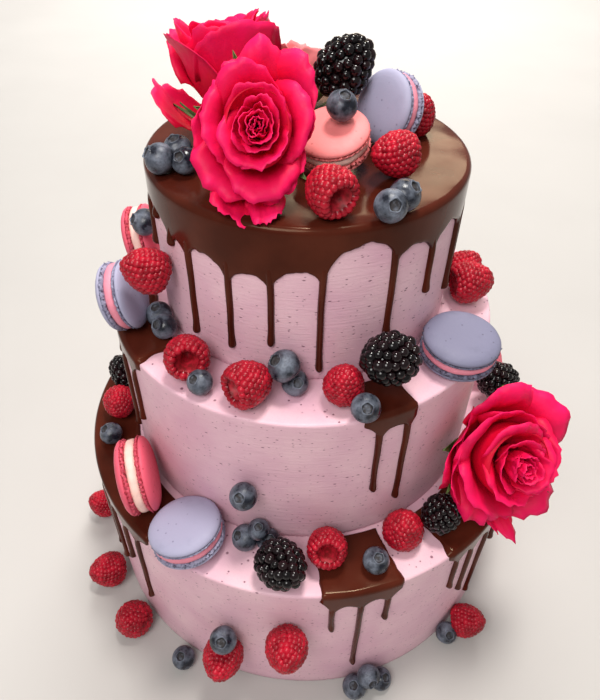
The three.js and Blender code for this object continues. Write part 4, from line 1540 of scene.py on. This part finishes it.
class CAKE_OT_roses(bpy.types.Operator):
    """Builds the roses petal by petal."""

    bl_idname = "cake.roses"
    bl_label = "Roses"

    def execute(self, context):
        tint = colours()
        green = sepal_finish()
        petals = {
            "rose": petal_finish("rose_petal", tint.rose, tint.rose_lip_highlight),
            "rose_pale": petal_finish("rose_pale_petal", tint.rose_pale, tint.rose_pale_lip_highlight),
        }
        for node, look, place, size, facing, deep, stretch, rings, seed, strays in ROSES:
            skin = rose_skin(size * MM, deep, stretch, rings, seed, strays)
            piece = make_object(node + "_petals", skin, [petals[look], green])
            body = piece.modifiers.new("petal body", "SOLIDIFY")
            body.thickness = sizes().petal
            body.offset = 0
            piece.data.transform(facing_turn(facing).to_4x4())
            bearing, out, height = place
            piece.location = on_bearing(bearing, out * MM, height * MM)
            piece.location.xy += Vector(TOPPING_AXIS) * MM
            dress_node(piece, node, look)
        return {"FINISHED"}


def camera_turn():
    """The camera's yaw about the upright axis, its pitch, and its roll about the line of sight."""
    yaw, pitch, roll = (math.radians(angle) for angle in (CAMERA_YAW, CAMERA_PITCH, CAMERA_ROLL))
    tilt = Matrix.Rotation(math.pi / 2 - pitch, 4, "X")
    return Matrix.Rotation(-yaw, 4, "Z") @ tilt @ Matrix.Rotation(roll, 4, "Z")


def add_light(name, place, target, size, power, tint, hidden_from):
    """A round lamp that aims at a target."""
    lamp = bpy.data.lights.new(name, "AREA")
    lamp.shape = "DISK"
    lamp.size = size
    lamp.energy = power
    lamp.color = tint
    holder = bpy.data.objects.new(name, lamp)
    holder.location = place
    aim = Vector(target) - Vector(place)
    holder.rotation_euler = aim.to_track_quat("-Z", "Y").to_euler()
    bpy.context.scene.collection.objects.link(holder)
    for rays in hidden_from:
        setattr(holder, rays, False)


def add_floor():
    steps = [FLOOR_REACH * (2 * step / FLOOR_STEPS - 1) for step in range(FLOOR_STEPS + 1)]
    skin = Skin()
    skin.add_rows([[Vector((x, y, 0)) for x in steps] for y in steps], is_ring=False)
    floor = make_object("floor", skin, [floor_finish()])
    floor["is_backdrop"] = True


def add_sky(scene):
    world = bpy.data.worlds.new("studio")
    world.use_nodes = True
    sky = world.node_tree.nodes["Background"]
    sky.inputs["Color"].default_value = (*SKY_COLOUR, 1)
    sky.inputs["Strength"].default_value = SKY_STRENGTH
    scene.world = world


def add_camera(scene):
    lens = bpy.data.cameras.new("photo camera")
    lens.lens = CAMERA_LENS
    lens.sensor_width = SENSOR_WIDTH
    lens.clip_start = CLIP_START * MM
    camera = bpy.data.objects.new("photo camera", lens)
    place = Vector(value * MM for value in CAMERA_PLACE)
    camera.matrix_world = Matrix.Translation(place) @ camera_turn()
    scene.collection.objects.link(camera)
    scene.camera = camera


class CAKE_OT_stage(bpy.types.Operator):
    """Sets the floor, the soft studio light and the camera."""

    bl_idname = "cake.stage"
    bl_label = "Stage"

    def execute(self, context):
        add_floor()
        for lamp in LAMPS:
            add_light(*lamp)
        context.scene.view_settings.view_transform = "Standard"
        add_sky(context.scene)
        add_camera(context.scene)
        return {"FINISHED"}


BUILDERS = (CAKE_OT_tiers, CAKE_OT_ganache, CAKE_OT_berries, CAKE_OT_joined_berries, CAKE_OT_macarons,
            CAKE_OT_roses, CAKE_OT_stage)


class CAKE_PT_panel(bpy.types.Panel):
    """Lists the cake's sizes, colours and builders."""

    bl_idname = "CAKE_PT_panel"
    bl_label = "Layer Cake"
    bl_space_type = "VIEW_3D"
    bl_region_type = "UI"
    bl_category = "Cake"

    def draw(self, context):
        layout = self.layout
        for settings in (context.scene.cake_sizes, context.scene.cake_colours):
            for name in settings.__annotations__:
                layout.prop(settings, name)
        for builder in BUILDERS:
            layout.operator(builder.bl_idname)


CLASSES = (CakeSizes, CakeColours, *BUILDERS, CAKE_PT_panel)


def register():
    for item in CLASSES:
        bpy.utils.register_class(item)
    bpy.types.Scene.cake_sizes = bpy.props.PointerProperty(type=CakeSizes)
    bpy.types.Scene.cake_colours = bpy.props.PointerProperty(type=CakeColours)


def unregister():
    del bpy.types.Scene.cake_colours
    del bpy.types.Scene.cake_sizes
    for item in reversed(CLASSES):
        bpy.utils.unregister_class(item)


def main():
    register()
    bpy.ops.cake.tiers()
    bpy.ops.cake.ganache()
    bpy.ops.cake.berries()
    bpy.ops.cake.joined_berries()
    bpy.ops.cake.macarons()
    bpy.ops.cake.roses()
    bpy.ops.cake.stage()
    boxes = {"cad": CAD_BOX, "visual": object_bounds()}
    {name: [list(low), list(high)] for name, (low, high) in boxes.items()}


if __name__ == "__main__":
    main()
